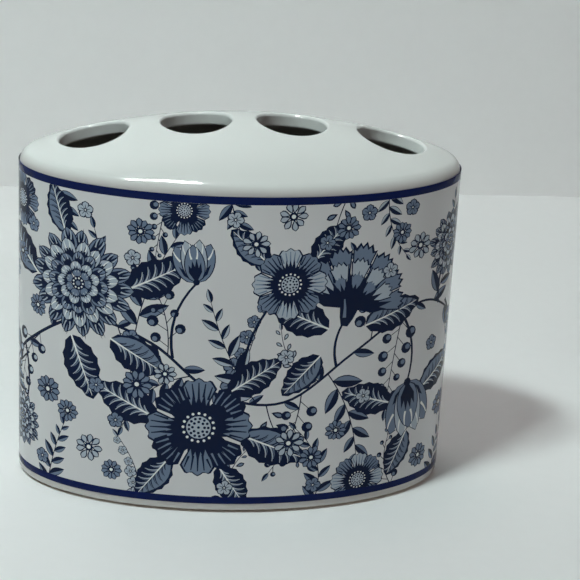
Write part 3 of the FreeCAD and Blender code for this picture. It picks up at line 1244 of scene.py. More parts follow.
def carnation(size: float, rng: random.Random) -> Drawing:
    """Fan of fringed petals over a slim cup, seen from the side and growing along +X.

    Args:
        size: length of the bloom.
        rng: source of the uneven parts.

    Returns:
        The drawing.
    """
    drawing = Drawing()
    heart = complex(0.1 * size, 0)
    for reach, count, spread, tone in CARNATION_TIERS:
        for index in range(count):
            angle = spread * (2 * index / (count - 1) - 1)
            far = size * reach * (1 - 0.10 * abs(angle))
            wide = far * 2.1 * spread / count
            outline = [complex(PETAL_HEEL * size, 0)]
            for step in range(9):
                share = step / 4 - 1
                notch = 0.93 if step % 2 else 1.0
                outline.append(complex(far * (1 - 0.10 * share * share) * notch, wide * 0.5 * share))
            drawing.fill(Ink.NAVY, turned(outline, angle, heart))
            drawing.fill(tone, turned(inset(outline, size, 0.90, 0.84), angle, heart))
            shade = [point + 0.1 * size for point in comb(far * 0.42, wide * 0.8, 3, rng)]
            drawing.fill(Ink.NAVY, turned(shade, angle, heart))
    side = [point * size for point in CARNATION_CUP_SIDE]
    drawing.fill(Ink.NAVY, [*side, complex(0.38, 0.0) * size, *(p.conjugate() for p in reversed(side))])
    vein = [point * size for point in (0.03j, 0.14 + 0.06j, 0.26 + 0.10j)]
    drawing.fill(Ink.SLATE, brush_stroke(vein, 0.05 * size, 0.4))
    return drawing


def tulip(size: float, rng: random.Random) -> Drawing:
    """Closed cup bloom with its petals lapped, growing along +X.

    Args:
        size: length of the bloom.
        rng: source of the uneven parts.

    Returns:
        The drawing.
    """
    drawing = Drawing()
    for angle, width, tone, reach in TULIP_PETALS:
        drawing.place(petal(size * reach, size * width, tone, Ink.WHITE, 0.42, rng, 0.85), 0j, angle)
    drawing.fill(Ink.NAVY, disc(size * 0.075, 8, complex(0.02 * size, 0)))
    return drawing


def daisy(radius: float, tone: Ink, rng: random.Random) -> Drawing:
    """Small bloom of narrow rays.

    Args:
        radius: radius of the bloom.
        tone: ink of the rays.
        rng: source of the uneven parts.

    Returns:
        The drawing, about its middle.
    """
    drawing = Drawing()
    rays = 11 if tone is Ink.SLATE else 9
    for index in range(rays):
        angle = TURN * (index + rng.uniform(-0.1, 0.1)) / rays
        long = radius * rng.uniform(0.9, 1.05)
        outer = blade(long * 0.8, radius * 0.50, 1.5, 0.7, 5)
        drawing.fill(Ink.NAVY, turned(outer, angle, cmath.rect(long * 0.2, angle)))
        inner = blade(long * 0.62, radius * 0.32, 1.5, 0.7, 5)
        drawing.fill(tone, turned(inner, angle, cmath.rect(long * 0.32, angle)))
    drawing.fill(Ink.NAVY, disc(radius * 0.3, 10))
    drawing.fill(Ink.WHITE, disc(radius * 0.15, 8))
    return drawing


def blossom(radius: float, tone: Ink, rng: random.Random) -> Drawing:
    """Tiny five-petalled bloom.

    Args:
        radius: radius of the bloom.
        tone: ink of the petals.
        rng: source of the uneven parts.

    Returns:
        The drawing, about its middle.
    """
    drawing = Drawing()
    start = rng.uniform(0, TURN)
    turns = [start + TURN * index / 5 for index in range(5)]
    for angle in turns:
        drawing.fill(Ink.NAVY, turned(blade(radius, radius * 0.95, 1.5, 0.5, 5), angle))
    for angle in turns:
        inner = blade(radius * 0.8, radius * 0.66, 1.5, 0.5, 5)
        drawing.fill(tone, turned(inner, angle, cmath.rect(radius * 0.1, angle)))
        rib = brush_stroke([0j, radius * 0.35 + 0j, radius * 0.6 + 0j], radius * 0.12, 0.3)
        drawing.fill(Ink.NAVY, turned(rib, angle))
    drawing.fill(Ink.NAVY, disc(radius * 0.2, 8))
    drawing.fill(Ink.WHITE, disc(radius * 0.1, 6))
    return drawing


def veined_leaf(length: float, width: float, light: Ink, rng: random.Random) -> Drawing:
    """Toothed leaf along +X with one light half, a white midrib and carved veins, or all dark with navy.

    Args:
        length: length of the leaf.
        width: its greatest width.
        light: ink of the light half and of the veins of the dark half.
        rng: source of the uneven veins.

    Returns:
        The drawing.
    """
    drawing = Drawing()
    drawing.fill(Ink.NAVY, toothed(blade(length, width, LEAF_BELLY, LEAF_TIP, 12), width * 0.05))
    half = [complex(p.real * 0.95 + length * 0.015, p.imag * 0.84)
            for p in blade(length, width, LEAF_BELLY, LEAF_TIP, 9)]
    upper = [p for p in half if p.imag > NO_LENGTH]
    dark = light is Ink.NAVY
    if not dark:
        low = width * 0.02
        drawing.fill(light, [complex(length * 0.02, low), *upper, complex(length * 0.93, low)])
    veins = 7
    aside = complex(length * 0.05, 0)
    for side in (1, -1):
        for index in range(veins):
            share = (index + 0.8) / (veins + 1.1)
            reach = width * 0.42 * math.sin(math.pi * share ** LEAF_BELLY) ** LEAF_TIP
            root = complex(length * share * 0.93, 0)
            ahead = min(share * 0.93 + 0.11 + 0.05 * (1 - share), 0.95)
            end = complex(length * ahead, side * reach * rng.uniform(0.82, 0.92))
            main = brush_stroke(bow_path(root, end, -0.10 * side, 4), width * 0.05, 0.35)
            drawing.fill(Ink.NAVY if side > 0 and not dark else Ink.PALE, main)
            fine = bow_path(root + aside, end + aside * 0.6 - 0.2 * (end - root), -0.1 * side, 3)
            shade = Ink.SLATE if dark else (Ink.NAVY if side > 0 else light)
            drawing.fill(shade, brush_stroke(fine, width * 0.03, 0.4))
    midrib = brush_stroke([0j, length * 0.5 + 0j, length * 0.94 + 0j], width * 0.055, 0.3)
    drawing.fill(Ink.WHITE, midrib)
    return drawing


def small_leaf(length: float, tone: Ink) -> Drawing:
    """Plain leaf along +X: one half dark, the other in a tone.

    Args:
        length: length of the leaf.
        tone: ink of its light half.

    Returns:
        The drawing.
    """
    drawing = Drawing()
    width = length * 0.42
    drawing.fill(Ink.NAVY, blade(length, width, LEAF_BELLY, LEAF_TIP, 6))
    upper = [p for p in blade(length * 0.9, width * 0.72, LEAF_BELLY, LEAF_TIP, 6) if p.imag >= -NO_LENGTH]
    drawing.fill(tone, [complex(length * 0.05, 0.05 * width) + p for p in upper])
    return drawing


class Sprig(Enum):
    """What grows on both sides of a sprig's stem."""

    LEAVES = "leaves"
    BERRIES = "berries"
    DROPS = "drops"
    BLOSSOMS = "blossoms"


LEAVES, BERRIES, DROPS, BLOSSOMS = Sprig


def sprig(kind: Sprig, length: float, bow: float, tone: Ink, rng: random.Random) -> Drawing:
    """Stem along +X with leaves, berries, drops or blossoms that shrink to its tip.

    Args:
        kind: what grows on it.
        length: length of the stem.
        bow: how far the stem bows to its left, as a share of its length.
        tone: ink of the light parts.
        rng: source of the uneven sizes.

    Returns:
        The drawing.
    """
    drawing = Drawing()
    path = bow_path(0j, length + 0j, bow, 12)
    drawing.fill(Ink.NAVY, brush_stroke(path, 0.36, 0.5))
    for index in range(1, len(path) - 1):
        foot = path[index]
        share = index / (len(path) - 1)
        side = 1 if index % 2 else -1
        size = length * (0.27 - 0.15 * share) * rng.uniform(0.85, 1.15)
        angle = cmath.phase(path[index + 1] - foot) + side * (0.95 - 0.35 * share)
        if kind is LEAVES:
            drawing.place(small_leaf(size, tone), foot, angle, side < 0)
        elif kind is BERRIES:
            tip = stalk(drawing, foot, size * 0.7, angle)
            drawing.fill(Ink.NAVY, disc(size * 0.24, 10, tip))
            drawing.fill(tone, disc(size * 0.12, 7, tip + complex(-0.05, 0.06) * size))
        elif kind is DROPS:
            tip = foot + cmath.rect(size * 0.22, angle)
            drawing.fill(Ink.NAVY, turned(blade(size * 0.72, size * 0.36, 1.3, 0.75, 5), angle, tip))
            inner = blade(size * 0.45, size * 0.18, 1.3, 0.75, 4)
            drawing.fill(tone, turned(inner, angle, tip + cmath.rect(size * 0.16, angle)))
        elif index % 2:
            tip = stalk(drawing, foot, size * 0.5, angle)
            drawing.place(blossom(size * 0.42, tone, rng), tip)
    drawing.place(small_leaf(length * 0.13, tone), path[-1], cmath.phase(path[-1] - path[-2]))
    return drawing


def stalk(drawing: Drawing, foot: complex, length: float, angle: float) -> complex:
    """Draw a thin straight stalk.

    Args:
        drawing: drawing that it goes into.
        foot: its lower end.
        length: its length.
        angle: its direction, in radians.

    Returns:
        The place of its tip.
    """
    tip = foot + cmath.rect(length, angle)
    drawing.fill(Ink.NAVY, brush_stroke([foot, (foot + tip) / 2, tip], 0.24, 0.8))
    return tip


# What grows where on each print


class Bloom(Enum):
    """Kinds of large bloom."""

    DAHLIA = "dahlia"
    COSMOS = "cosmos"
    DEEP_COSMOS = "deep cosmos"
    CARNATION = "carnation"
    TULIP = "tulip"


DAHLIA, COSMOS, DEEP_COSMOS, CARNATION, TULIP = Bloom


@dataclass(frozen=True)
class BloomPlace:
    """A large bloom: its kind, middle or foot, size, turn, and the vine end of its stem."""

    kind: Bloom
    at: complex
    size: float
    turn: float = 0.0
    root: complex | None = None

    def draw(self, rng: random.Random) -> Drawing:
        """Draw the bloom about its own origin.

        Args:
            rng: source of the uneven parts.

        Returns:
            The drawing.
        """
        makers = {DAHLIA: dahlia, COSMOS: cosmos, CARNATION: carnation, TULIP: tulip,
                  DEEP_COSMOS: lambda size, source: cosmos(size, source, True)}
        return makers[self.kind](self.size, rng)


@dataclass(frozen=True)
class SprigPlace:
    """A sprig: its kind, foot, turn and length."""

    kind: Sprig
    at: complex
    turn: float
    length: float


@dataclass(frozen=True)
class LeafPlace:
    """A veined leaf: its foot, turn, length, width and light ink."""

    at: complex
    turn: float
    length: float
    width: float
    light: Ink = Ink.SLATE


def rows_of(kind: type, *rows: tuple) -> tuple:
    """Places of one kind, one from each row of its fields."""
    return tuple(kind(*row) for row in rows)


@dataclass(frozen=True)
class VinePattern:
    """One print's plants, in millimetres from the middle of its lower edge."""

    seed: int
    vine: tuple[complex, ...]
    sprigs: tuple[SprigPlace, ...]
    leaves: tuple[LeafPlace, ...]
    blooms: tuple[BloomPlace, ...]
    daisies: tuple[tuple[complex, float], ...]
    blossoms: tuple[complex, ...]

    def draw(self) -> Drawing:
        """Draw the whole print, from the vine at the back to the small blooms in front.

        Returns:
            The drawing.
        """
        rng = random.Random(self.seed)
        drawing = Drawing()
        vine = wave_path(self.vine)
        drawing.fill(Ink.NAVY, brush_stroke(vine, 1.0, 0.6))
        for index in range(VINE_LEAF_STEP, len(vine) - 1, VINE_LEAF_STEP):
            side = 1 if index % (2 * VINE_LEAF_STEP) else -1
            ahead = cmath.phase(vine[index + 1] - vine[index - 1])
            leaf = small_leaf(rng.uniform(4.8, 7.2), Ink.SLATE)
            drawing.place(leaf, vine[index], ahead + side * 0.75, side < 0)
        for place in self.sprigs:
            root = min(vine, key=lambda point: abs(point - place.at))
            root = root if abs(root - place.at) < VINE_REACH else place.at
            tone = rng.choice((Ink.SLATE, Ink.SLATE, Ink.PALE))
            grown = sprig(place.kind, place.length, rng.uniform(-0.18, 0.18), tone, rng)
            drawing.place(grown, root, place.turn)
        for place in self.blooms:
            if place.root is not None:
                drawing.fill(Ink.NAVY, brush_stroke(bow_path(place.root, place.at, 0.12), 0.9, 0.7))
        for place in self.leaves:
            drawing.place(veined_leaf(place.length, place.width, place.light, rng), place.at, place.turn)
        for place in self.blooms:
            drawing.place(place.draw(rng), place.at, place.turn)
        for index, (at, radius) in enumerate(self.daisies):
            drawing.place(daisy(radius, Ink.PALE if index % 3 == 1 else Ink.SLATE, rng), at)
        for index, at in enumerate(self.blossoms):
            drawing.place(blossom(2.6, Ink.PALE if index % 2 else Ink.SLATE, rng), at)
        return drawing


FRONT_PATTERN = VinePattern(
    seed=11,
    vine=(-88 + 16j, -77 + 28j, -66 + 40j, -46 + 52j, -26 + 47j, -8 + 33j, 12 + 30j, 32 + 44j, 52 + 56j,
          66 + 52j, 77 + 40j, 88 + 26j),
    sprigs=rows_of(
        SprigPlace,
        (LEAVES, -58 + 93j, -1.3, 24), (BERRIES, -22 + 93j, -1.75, 20), (LEAVES, -6 + 93j, -1.2, 22),
        (DROPS, 28 + 93j, -1.8, 20), (LEAVES, 40 + 93j, -1.25, 22), (BERRIES, 78 + 93j, -1.6, 20),
        (LEAVES, -58 - 4j, 1.3, 24), (BLOSSOMS, -28 - 4j, 1.9, 22), (DROPS, -2 - 4j, 1.35, 20),
        (LEAVES, 22 - 4j, 1.8, 26), (BERRIES, 50 - 4j, 1.75, 22), (LEAVES, 66 - 4j, 1.2, 22),
        (BLOSSOMS, -70 + 36j, 1.9, 26), (BERRIES, -60 + 45j, -1.9, 30), (LEAVES, -30 + 50j, 1.2, 34),
        (BERRIES, -20 + 44j, 1.9, 28), (BLOSSOMS, -2 + 30j, 1.35, 30), (DROPS, 8 + 29j, -1.0, 24),
        (LEAVES, 26 + 38j, -1.25, 34), (DROPS, 22 + 36j, 2.2, 20), (BERRIES, 46 + 54j, -1.7, 30),
        (LEAVES, 60 + 55j, 1.3, 30), (BLOSSOMS, 66 + 52j, -1.0, 30), (DROPS, -44 + 52j, 2.6, 30),
        (BLOSSOMS, -36 + 50j, -1.3, 26), (LEAVES, -74 + 28j, -1.0, 22), (BERRIES, 38 + 49j, 1.8, 28),
        (LEAVES, -52 + 50j, 1.3, 30), (LEAVES, 4 + 31j, 2.0, 34), (LEAVES, -14 + 37j, -2.4, 26),
        (BERRIES, 16 + 32j, -1.9, 26)),
    leaves=rows_of(
        LeafPlace,
        (-62 + 62j, 2.5, 20, 10.5), (-34 + 62j, 0.5, 20, 10.5, Ink.NAVY),
        (-50 + 46j, -1.2, 20, 10.5, Ink.NAVY), (-38 + 47j, -0.5, 19, 10), (-52 + 76j, 1.9, 15, 8),
        (-24 + 24j, 2.7, 20, 11, Ink.NAVY), (0 + 20j, -0.4, 21, 11), (-4 + 33j, 0.6, 18, 9.5, Ink.NAVY),
        (-20 + 12j, -2.2, 16, 9), (-6 + 10j, -1.0, 15, 8.5, Ink.NAVY), (24 + 52j, 2.7, 19, 10, Ink.NAVY),
        (35 + 52j, 0.3, 19, 10), (22 + 44j, -2.3, 16, 8.5), (56 + 28j, 0.5, 18, 9.5),
        (46 + 26j, 2.8, 18, 9.5, Ink.NAVY), (52 + 16j, -2.0, 15, 8.5), (18 + 72j, 0.9, 15, 8, Ink.NAVY),
        (6 + 72j, 2.4, 15, 8)),
    blooms=rows_of(
        BloomPlace,
        (DAHLIA, -48 + 62j, 16.5), (DEEP_COSMOS, -12 + 22j, 15), (CARNATION, 29 + 55j, 21, 1.35, 27 + 40j),
        (TULIP, 51 + 32j, 18, -1.45, 47 + 54j), (COSMOS, 12 + 66j, 10.5, 0.0, 0 + 32j),
        (DAHLIA, 66 + 72j, 10.5, 0.0, 62 + 54j), (DAHLIA, -70 + 14j, 9, 0.0, -68 + 38j),
        (TULIP, -14 + 66j, 13, 1.7, -20 + 43j), (DEEP_COSMOS, -70 + 82j, 8.0), (COSMOS, 36 + 3j, 8.5),
        (DEEP_COSMOS, -18 + 87j, 7.0)),
    daisies=(
        (-30 + 34j, 4.6), (-22 + 38j, 3.6), (-58 + 27j, 4.6), (-51 + 22j, 3.6), (14 + 17j, 4.6),
        (21 + 12j, 3.8), (28 + 20j, 3.4), (52 + 74j, 4.4), (45 + 79j, 3.4), (68 + 20j, 4.4),
        (75 + 25j, 3.2), (-76 + 60j, 4.4), (-70 + 66j, 3.4), (2 + 78j, 4.0), (-30 + 80j, 4.0),
        (28 + 82j, 3.8), (-44 + 12j, 4.4), (-37 + 6j, 3.4), (58 + 6j, 4.0), (12 + 86j, 4.2),
        (-62 + 52j, 3.4)),
    blossoms=(
        -64 + 76j, -4 + 85j, 34 + 86j, 76 + 82j, -60 + 5j, -4 + 3j, 22 + 3j, 42 + 68j, 22 + 78j,
        -32 + 72j, 60 + 42j, 36 + 30j, -42 + 32j, 76 + 8j, -36 + 22j, 12 + 44j, 48 + 86j, -46 + 84j,
        70 + 36j))

BACK_PATTERN = VinePattern(
    seed=29,
    vine=(-88 + 54j, -77 + 40j, -64 + 34j, -46 + 38j, -26 + 40j, -6 + 52j, 14 + 60j, 34 + 56j, 52 + 40j,
          64 + 30j, 77 + 28j, 88 + 36j),
    sprigs=rows_of(
        SprigPlace,
        (LEAVES, -66 + 93j, -1.8, 24), (BERRIES, -38 + 93j, -1.3, 22), (DROPS, -12 + 93j, -1.7, 20),
        (LEAVES, 22 + 93j, -1.3, 22), (LEAVES, 56 + 93j, -1.8, 20), (BERRIES, 72 + 93j, -1.4, 22),
        (BLOSSOMS, -54 - 4j, 1.7, 20), (LEAVES, -34 - 4j, 1.3, 22), (DROPS, -14 - 4j, 1.8, 20),
        (LEAVES, 14 - 4j, 1.4, 22), (BERRIES, 38 - 4j, 1.2, 20), (LEAVES, 52 - 4j, 1.8, 22),
        (BERRIES, -60 + 37j, -2.0, 30), (DROPS, -54 + 37j, 1.7, 32), (BLOSSOMS, -40 + 38j, -1.3, 30),
        (LEAVES, -32 + 39j, 1.3, 36), (LEAVES, -44 + 38j, 1.9, 34), (BERRIES, -18 + 43j, -1.1, 32),
        (BLOSSOMS, -8 + 50j, 1.9, 32), (DROPS, 4 + 56j, -1.3, 30), (LEAVES, 18 + 60j, -1.5, 36),
        (BERRIES, 12 + 60j, 1.6, 28), (DROPS, 32 + 57j, 1.0, 28), (BLOSSOMS, 44 + 48j, -1.8, 30),
        (LEAVES, 54 + 38j, 1.3, 32), (BERRIES, 66 + 30j, 1.2, 30), (LEAVES, 40 + 52j, -0.9, 30),
        (DROPS, 60 + 33j, -1.9, 26), (BLOSSOMS, -70 + 36j, 1.4, 30)),
    leaves=rows_of(
        LeafPlace,
        (-62 + 26j, 2.6, 18, 9.5), (-44 + 20j, -0.5, 20, 10.5, Ink.NAVY), (-30 + 64j, 2.6, 18, 9.5),
        (-16 + 66j, 0.4, 18, 9.5, Ink.NAVY), (-16 + 20j, 2.4, 17, 9, Ink.NAVY), (2 + 16j, -0.3, 18, 9.5),
        (18 + 42j, 2.5, 19, 10, Ink.NAVY), (40 + 36j, -0.4, 18, 9.5), (38 + 72j, 2.6, 18, 9.5),
        (58 + 74j, 0.3, 18, 9.5, Ink.NAVY), (60 + 14j, -0.5, 17, 9), (48 + 14j, 2.7, 17, 9, Ink.NAVY),
        (-58 + 14j, -1.9, 15, 8.5, Ink.NAVY), (28 + 14j, -1.2, 16, 9), (14 + 18j, 2.9, 15, 8.5)),
    blooms=rows_of(
        BloomPlace,
        (COSMOS, -52 + 24j, 13.5), (CARNATION, -24 + 56j, 20, 1.75, -24 + 40j),
        (TULIP, -8 + 32j, 17, -1.7, -8 + 50j), (DAHLIA, 28 + 28j, 15.5, 0.0, 32 + 57j),
        (DEEP_COSMOS, 48 + 70j, 12.5, 0.0, 44 + 48j), (DAHLIA, 6 + 76j, 10, 0.0, 8 + 58j),
        (TULIP, 66 + 50j, 13, 1.3, 62 + 32j), (DAHLIA, -64 + 70j, 10.5, 0.0, -62 + 35j),
        (COSMOS, 66 + 12j, 9, 0.0, 66 + 30j), (DEEP_COSMOS, -26 + 4j, 8), (DEEP_COSMOS, -40 + 86j, 7)),
    daisies=(
        (-70 + 24j, 4.4), (-64 + 8j, 3.4), (-46 + 60j, 4.6), (-40 + 66j, 3.6), (-34 + 12j, 4.4),
        (-70 + 54j, 3.4), (12 + 40j, 4.0), (4 + 36j, 3.4), (50 + 30j, 3.8), (24 + 78j, 4.4),
        (30 + 84j, 3.4), (-52 + 80j, 4.2), (-18 + 84j, 3.8), (0 + 5j, 4.2), (62 + 88j, 3.6),
        (72 + 66j, 4.4), (-72 + 84j, 4.0), (24 + 3j, 3.6)),
    blossoms=(
        -56 + 58j, -30 + 84j, -2 + 62j, 18 + 50j, 40 + 86j, 70 + 78j, 56 + 58j, -72 + 12j, -44 + 5j,
        -8 + 8j, 34 + 6j, 74 + 40j, -20 + 28j, 54 + 24j, 14 + 86j, -4 + 86j, 74 + 4j))


# Pieces

BARE_SLOT = 1
CAVITY_SLOT = 2
BAND_STEPS = 320
# Distances on the flat sheet, in millimetres, under which two points or a point and a line count as one
CROSSING_GAP = 1e-4
BACK_GAP = 1e-5
FACE_ON = 0.5
ON_LINE = 1e-3


@dataclass(frozen=True)
class Flat:
    """Level face, for patches that lie on a plane."""

    level: float

    def height(self, x: np.ndarray, y: np.ndarray) -> np.ndarray:
        """Height of the face above each place."""
        return np.full_like(x, self.level)

    def normals(self, points: np.ndarray) -> np.ndarray:
        """Upward normals, one for each point."""
        return np.tile([0.0, 0.0, 1.0], (len(points), 1))


def settle(piece: Piece, body: Body, slot: str, *nodes: str) -> None:
    """Put a finished piece on its body in place of its nodes.

    Args:
        piece: the piece.
        body: the body that it rides on.
        slot: not used.
        nodes: nodes that the piece stands for.
    """
    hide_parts(*nodes)
    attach(piece, body.value)
    LOG.info("%s: %d faces, stands for %s", piece.name, len(piece.data.polygons), ", ".join(nodes))


@dataclass
class CeramicShell:
    """One slip-cast piece: oval wall, domed top with four rimmed holes, floor with a drain hole."""

    wall: float = 4.0 * MM
    top_thickness: float = 4.0 * MM
    floor: float = 4.0 * MM
    dome_rise: float = 10.85 * MM
    dome_spread: float = 2.0
    shoulder_radius: float = 4.6 * MM
    base_edge_radius: float = 0.4 * MM
    foot_edge_radius: float = 0.4 * MM
    cavity_corner: float = 3.0 * MM
    ring_width: float = 11.0 * MM
    recess_depth: float = 2.6 * MM
    recess_corner: float = 1.0 * MM
    drain_radius: float = 11.0 * MM
    drain_edge_below: float = 0.3 * MM
    drain_edge_above: float = 0.4 * MM
    hole_radius: float = 10.0 * MM
    hole_shares: tuple[float, ...] = (-0.6748, -0.2165, 0.2165, 0.6748)
    rim_radius: float = 0.9 * MM
    lower_rim_radius: float = 0.85 * MM
    ring_count: int = 320
    hole_count: int = 96
    shoulder_steps: int = 14
    wall_rows: int = 13
    edge_steps: int = 5
    fine_steps: int = 3
    cavity_steps: int = 6
    rim_steps: int = 8
    bore_rows: int = 5
    recess_shares: tuple[float, float] = (0.3, 0.65)
    floor_shares: tuple[float, float] = (0.35, 0.7)
    top_pitch: float = 1.5 * MM
    top_margin: float = 0.9 * MM
    ceiling_pitch: float = 2.5 * MM
    ceiling_margin: float = 1.2 * MM

    def __post_init__(self) -> None:
        """Read the outer box from the frame and set out the surfaces."""
        span = Span.of("ceramic_body")
        length, depth = span.half_length, span.half_depth
        self.base = span.low.z
        self.half_length = length
        self.outside, self.inside, self.recess = (
            Oval(length - inset, depth - inset).wall(self.ring_count)
            for inset in (0.0, self.wall, self.ring_width))
        half_height = self.dome_rise / (1 - math.sqrt(1 - 1 / self.dome_spread ** 2))
        self.dome = Dome(self.dome_spread * length, self.dome_spread * depth, half_height,
                         span.high.z - half_height)
        self.ceiling = self.dome.shrunk(self.top_thickness)
        self.seat_height = self.base + self.recess_depth
        self.floor_height = self.seat_height + self.floor

    def roll(self, wall: Wall, dome: Dome, radius: float) -> Ring:
        """Roll a ball along the corner between a wall and a dome, from inside both.

        Args:
            wall: the wall.
            dome: the dome.
            radius: radius of the ball.

        Returns:
            Middles of the ball, and the dome's normals where the ball touches it.
        """
        plan = wall.ring(radius, 0.0)[:, :2]
        touch = plan
        for _ in range(ROLL_ROUNDS + 1):
            solid = np.column_stack([touch, dome.height(touch[:, 0], touch[:, 1])])
            normals = dome.normals(solid)
            touch = plan + radius * normals[:, :2]
        return solid - radius * normals, normals

    def add_outside(self, skin: Skin) -> np.ndarray:
        """Add the shoulder, the wall, the base edge and the foot ring.

        Args:
            skin: the skin to add to.

        Returns:
            The ring where the shoulder meets the dome.
        """
        middles, crown = self.roll(self.outside, self.dome, self.shoulder_radius)
        rings = [(middles + self.shoulder_radius * normal, normal)
                 for normal in fan(crown, self.outside.out, self.shoulder_steps)]
        rings += self.outside.rows(middles[:, 2], self.base + self.base_edge_radius, self.wall_rows, OUT)
        rings += self.outside.rounding(self.base_edge_radius, self.base, OUT, DOWN, self.edge_steps)
        first, last = skin.run(rings)
        foot = self.recess.rounding(self.foot_edge_radius, self.base, IN, DOWN, self.fine_steps,
                                    from_wall=False)
        foot += self.recess.rounding(self.recess_corner, self.seat_height, IN, DOWN, self.edge_steps,
                                     hollow=True)
        _, corner = skin.run(foot, last, BARE_SLOT)
        self.add_floor(skin, corner)
        return first

    def add_floor(self, skin: Skin, corner: np.ndarray) -> None:
        """Add the recess top, the drain hole, the cavity and the edge of its ceiling.

        Args:
            skin: the skin to add to.
            corner: ring where the recess's corner ends.
        """
        drain = Wall.round(self.drain_radius, self.ring_count)
        below, above = self.drain_edge_below, self.drain_edge_above
        up = np.array([0.0, 0.0, 1.0])
        outer = self.recess.ring(self.recess_corner, self.seat_height)
        inner = drain.ring(-below, self.seat_height)
        rings = [(outer + (inner - outer) * share, -up) for share in self.recess_shares]
        rings += drain.rounding(below, self.seat_height, IN, DOWN, self.fine_steps, from_wall=False)
        _, mouth = skin.run(rings, corner, BARE_SLOT)
        _, lip = skin.run(drain.rounding(above, self.floor_height, IN, UP, self.fine_steps), mouth)
        inner = drain.ring(-above, self.floor_height)
        outer = self.inside.ring(self.cavity_corner, self.floor_height)
        rings = [(inner + (outer - inner) * share, up) for share in self.floor_shares]
        rings += self.inside.rounding(self.cavity_corner, self.floor_height, IN, UP, self.cavity_steps,
                                      from_wall=False, hollow=True)
        middles, crown = self.roll(self.inside, self.ceiling, self.cavity_corner)
        rings += self.inside.rows(self.floor_height + self.cavity_corner, middles[:, 2],
                                  self.cavity_steps, IN)
        rings += [(middles + self.cavity_corner * normal, -normal)
                  for normal in fan(self.inside.out, crown, self.cavity_steps)]
        _, self.ceiling_ring = skin.run(rings, lip, CAVITY_SLOT)

    def add_hole(self, skin: Skin, share: float) -> tuple[np.ndarray, np.ndarray]:
        """Add one bore with its rims, square to the dome.

        Args:
            skin: the skin to add to.
            share: place of the hole along the half length of the shell.

        Returns:
            The ring where the upper rim meets the dome, and the one where the lower rim meets the ceiling.
        """
        rim, lower_rim = self.rim_radius, self.lower_rim_radius
        middle = np.array([[share * self.half_length, 0.0, 0.0]])
        middle[:, 2] = self.dome.height(middle[:, 0], middle[:, 1])
        axis = self.dome.normals(middle)[0]
        across = np.array([0.0, 1.0, 0.0])
        turns = np.arange(self.hole_count) * TURN / self.hole_count
        radial = np.cos(turns)[:, None] * np.cross(across, axis) + np.sin(turns)[:, None] * across
        upper = seat_on_line(self.dome, middle + (self.hole_radius + rim) * radial, axis, -rim)
        lower = seat_on_line(self.ceiling, middle + (self.hole_radius + lower_rim) * radial, axis, lower_rim)
        rings = [(upper + rim * normal, normal)
                 for normal in fan(self.dome.normals(upper), -radial, self.rim_steps)]
        start, end = rings[-1][0], lower - lower_rim * radial
        rings += [(start + (end - start) * row / self.bore_rows, -radial) for row in range(1, self.bore_rows)]
        rings += [(lower + lower_rim * normal, normal)
                  for normal in fan(-radial, -self.ceiling.normals(lower), self.edge_steps)]
        return skin.run(rings)

    def build(self, glaze: Finish, biscuit_and_painted_shade: Finish, inside: Finish) -> None:
        """Build the shell and put it on its body.

        Args:
            glaze: finish of the outside and of the bores.
            biscuit_and_painted_shade: finish of the foot ring and the recess, which are left bare, in a
                colour darkened in part as painted shade for the gap under the base.
            inside: finish of the cavity.
        """
        skin = Skin()
        shoulder = self.add_outside(skin)
        uppers, lowers = zip(*(self.add_hole(skin, share) for share in self.hole_shares))
        skin.patch(shoulder, uppers, self.dome, OUT, self.top_pitch, self.top_margin)
        skin.patch(self.ceiling_ring, lowers, self.ceiling, IN, self.ceiling_pitch, self.ceiling_margin,
                   CAVITY_SLOT)
        piece = skin.make("ceramic_shell", (glaze, biscuit_and_painted_shade, inside))
        settle(piece, Body.HOLDER, "glazed_ceramic", "ceramic_body")


def band_tree(finish: Finish) -> Tree:
    """Geometry tree that sweeps a thin rounded strip round an oval.

    Args:
        finish: material of the strip.

    Returns:
        The tree.
    """
    tree, given = shape_tree("oval_band", ("Half Length", "Half Depth", "Middle Height", "Strip Height",
                                           "Strip Thickness", "Edge Radius"))
    circle = put(tree, "GeometryNodeCurvePrimitiveCircle",
                 {"Resolution": BAND_STEPS, "Radius": 1.0}, mode="RADIUS")
    place = place_parts(tree)
    oval = put(tree, "ShaderNodeCombineXYZ", {
        0: sum_of(tree, "MULTIPLY", place[0], given["Half Length"]),
        1: sum_of(tree, "MULTIPLY", place[1], given["Half Depth"]),
        2: given["Middle Height"]})
    laid = put(tree, "GeometryNodeSetPosition", {"Geometry": circle[0], "Position": oval[0]})
    upright = put(tree, "GeometryNodeSetCurveNormal", {"Curve": laid[0]}, mode="Z_UP")
    strip = put(tree, "GeometryNodeCurvePrimitiveQuadrilateral",
                {"Width": given["Strip Thickness"], "Height": given["Strip Height"]})
    soft = put(tree, "GeometryNodeFilletCurve",
               {"Curve": strip[0], "Count": 3, "Radius": given["Edge Radius"]}, mode="POLY")
    swept = put(tree, "GeometryNodeCurveToMesh", {"Curve": upright[0], "Profile Curve": soft[0]})
    smooth = put(tree, "GeometryNodeSetShadeSmooth", {"Geometry": swept[0]})
    return end_tree(tree, smooth[0], finish)


@dataclass
class NavyBands:
    """The two navy bands that frame the prints."""

    nodes: tuple[str, str] = ("lower_band", "upper_band")
    thickness: float = 0.15 * MM
    edge_radius: float = 0.05 * MM

    def build(self, finish: Finish) -> None:
        """Build both bands and put them on their body.

        Args:
            finish: finish of the bands.
        """
        tree = band_tree(finish)
        for node in self.nodes:
            span = Span.of(node)
            name = f"{node}_strip"
            piece = add_object(name, bpy.data.meshes.new(name))
            run_tree(piece, tree, {
                "Half Length": span.half_length - self.thickness / 2,
                "Half Depth": span.half_depth - self.thickness / 2,
                "Middle Height": (span.low.z + span.high.z) / 2,
                "Strip Height": span.height,
                "Strip Thickness": self.thickness,
                "Edge Radius": self.edge_radius})
            settle(piece, Body.HOLDER, "navy_print", node)


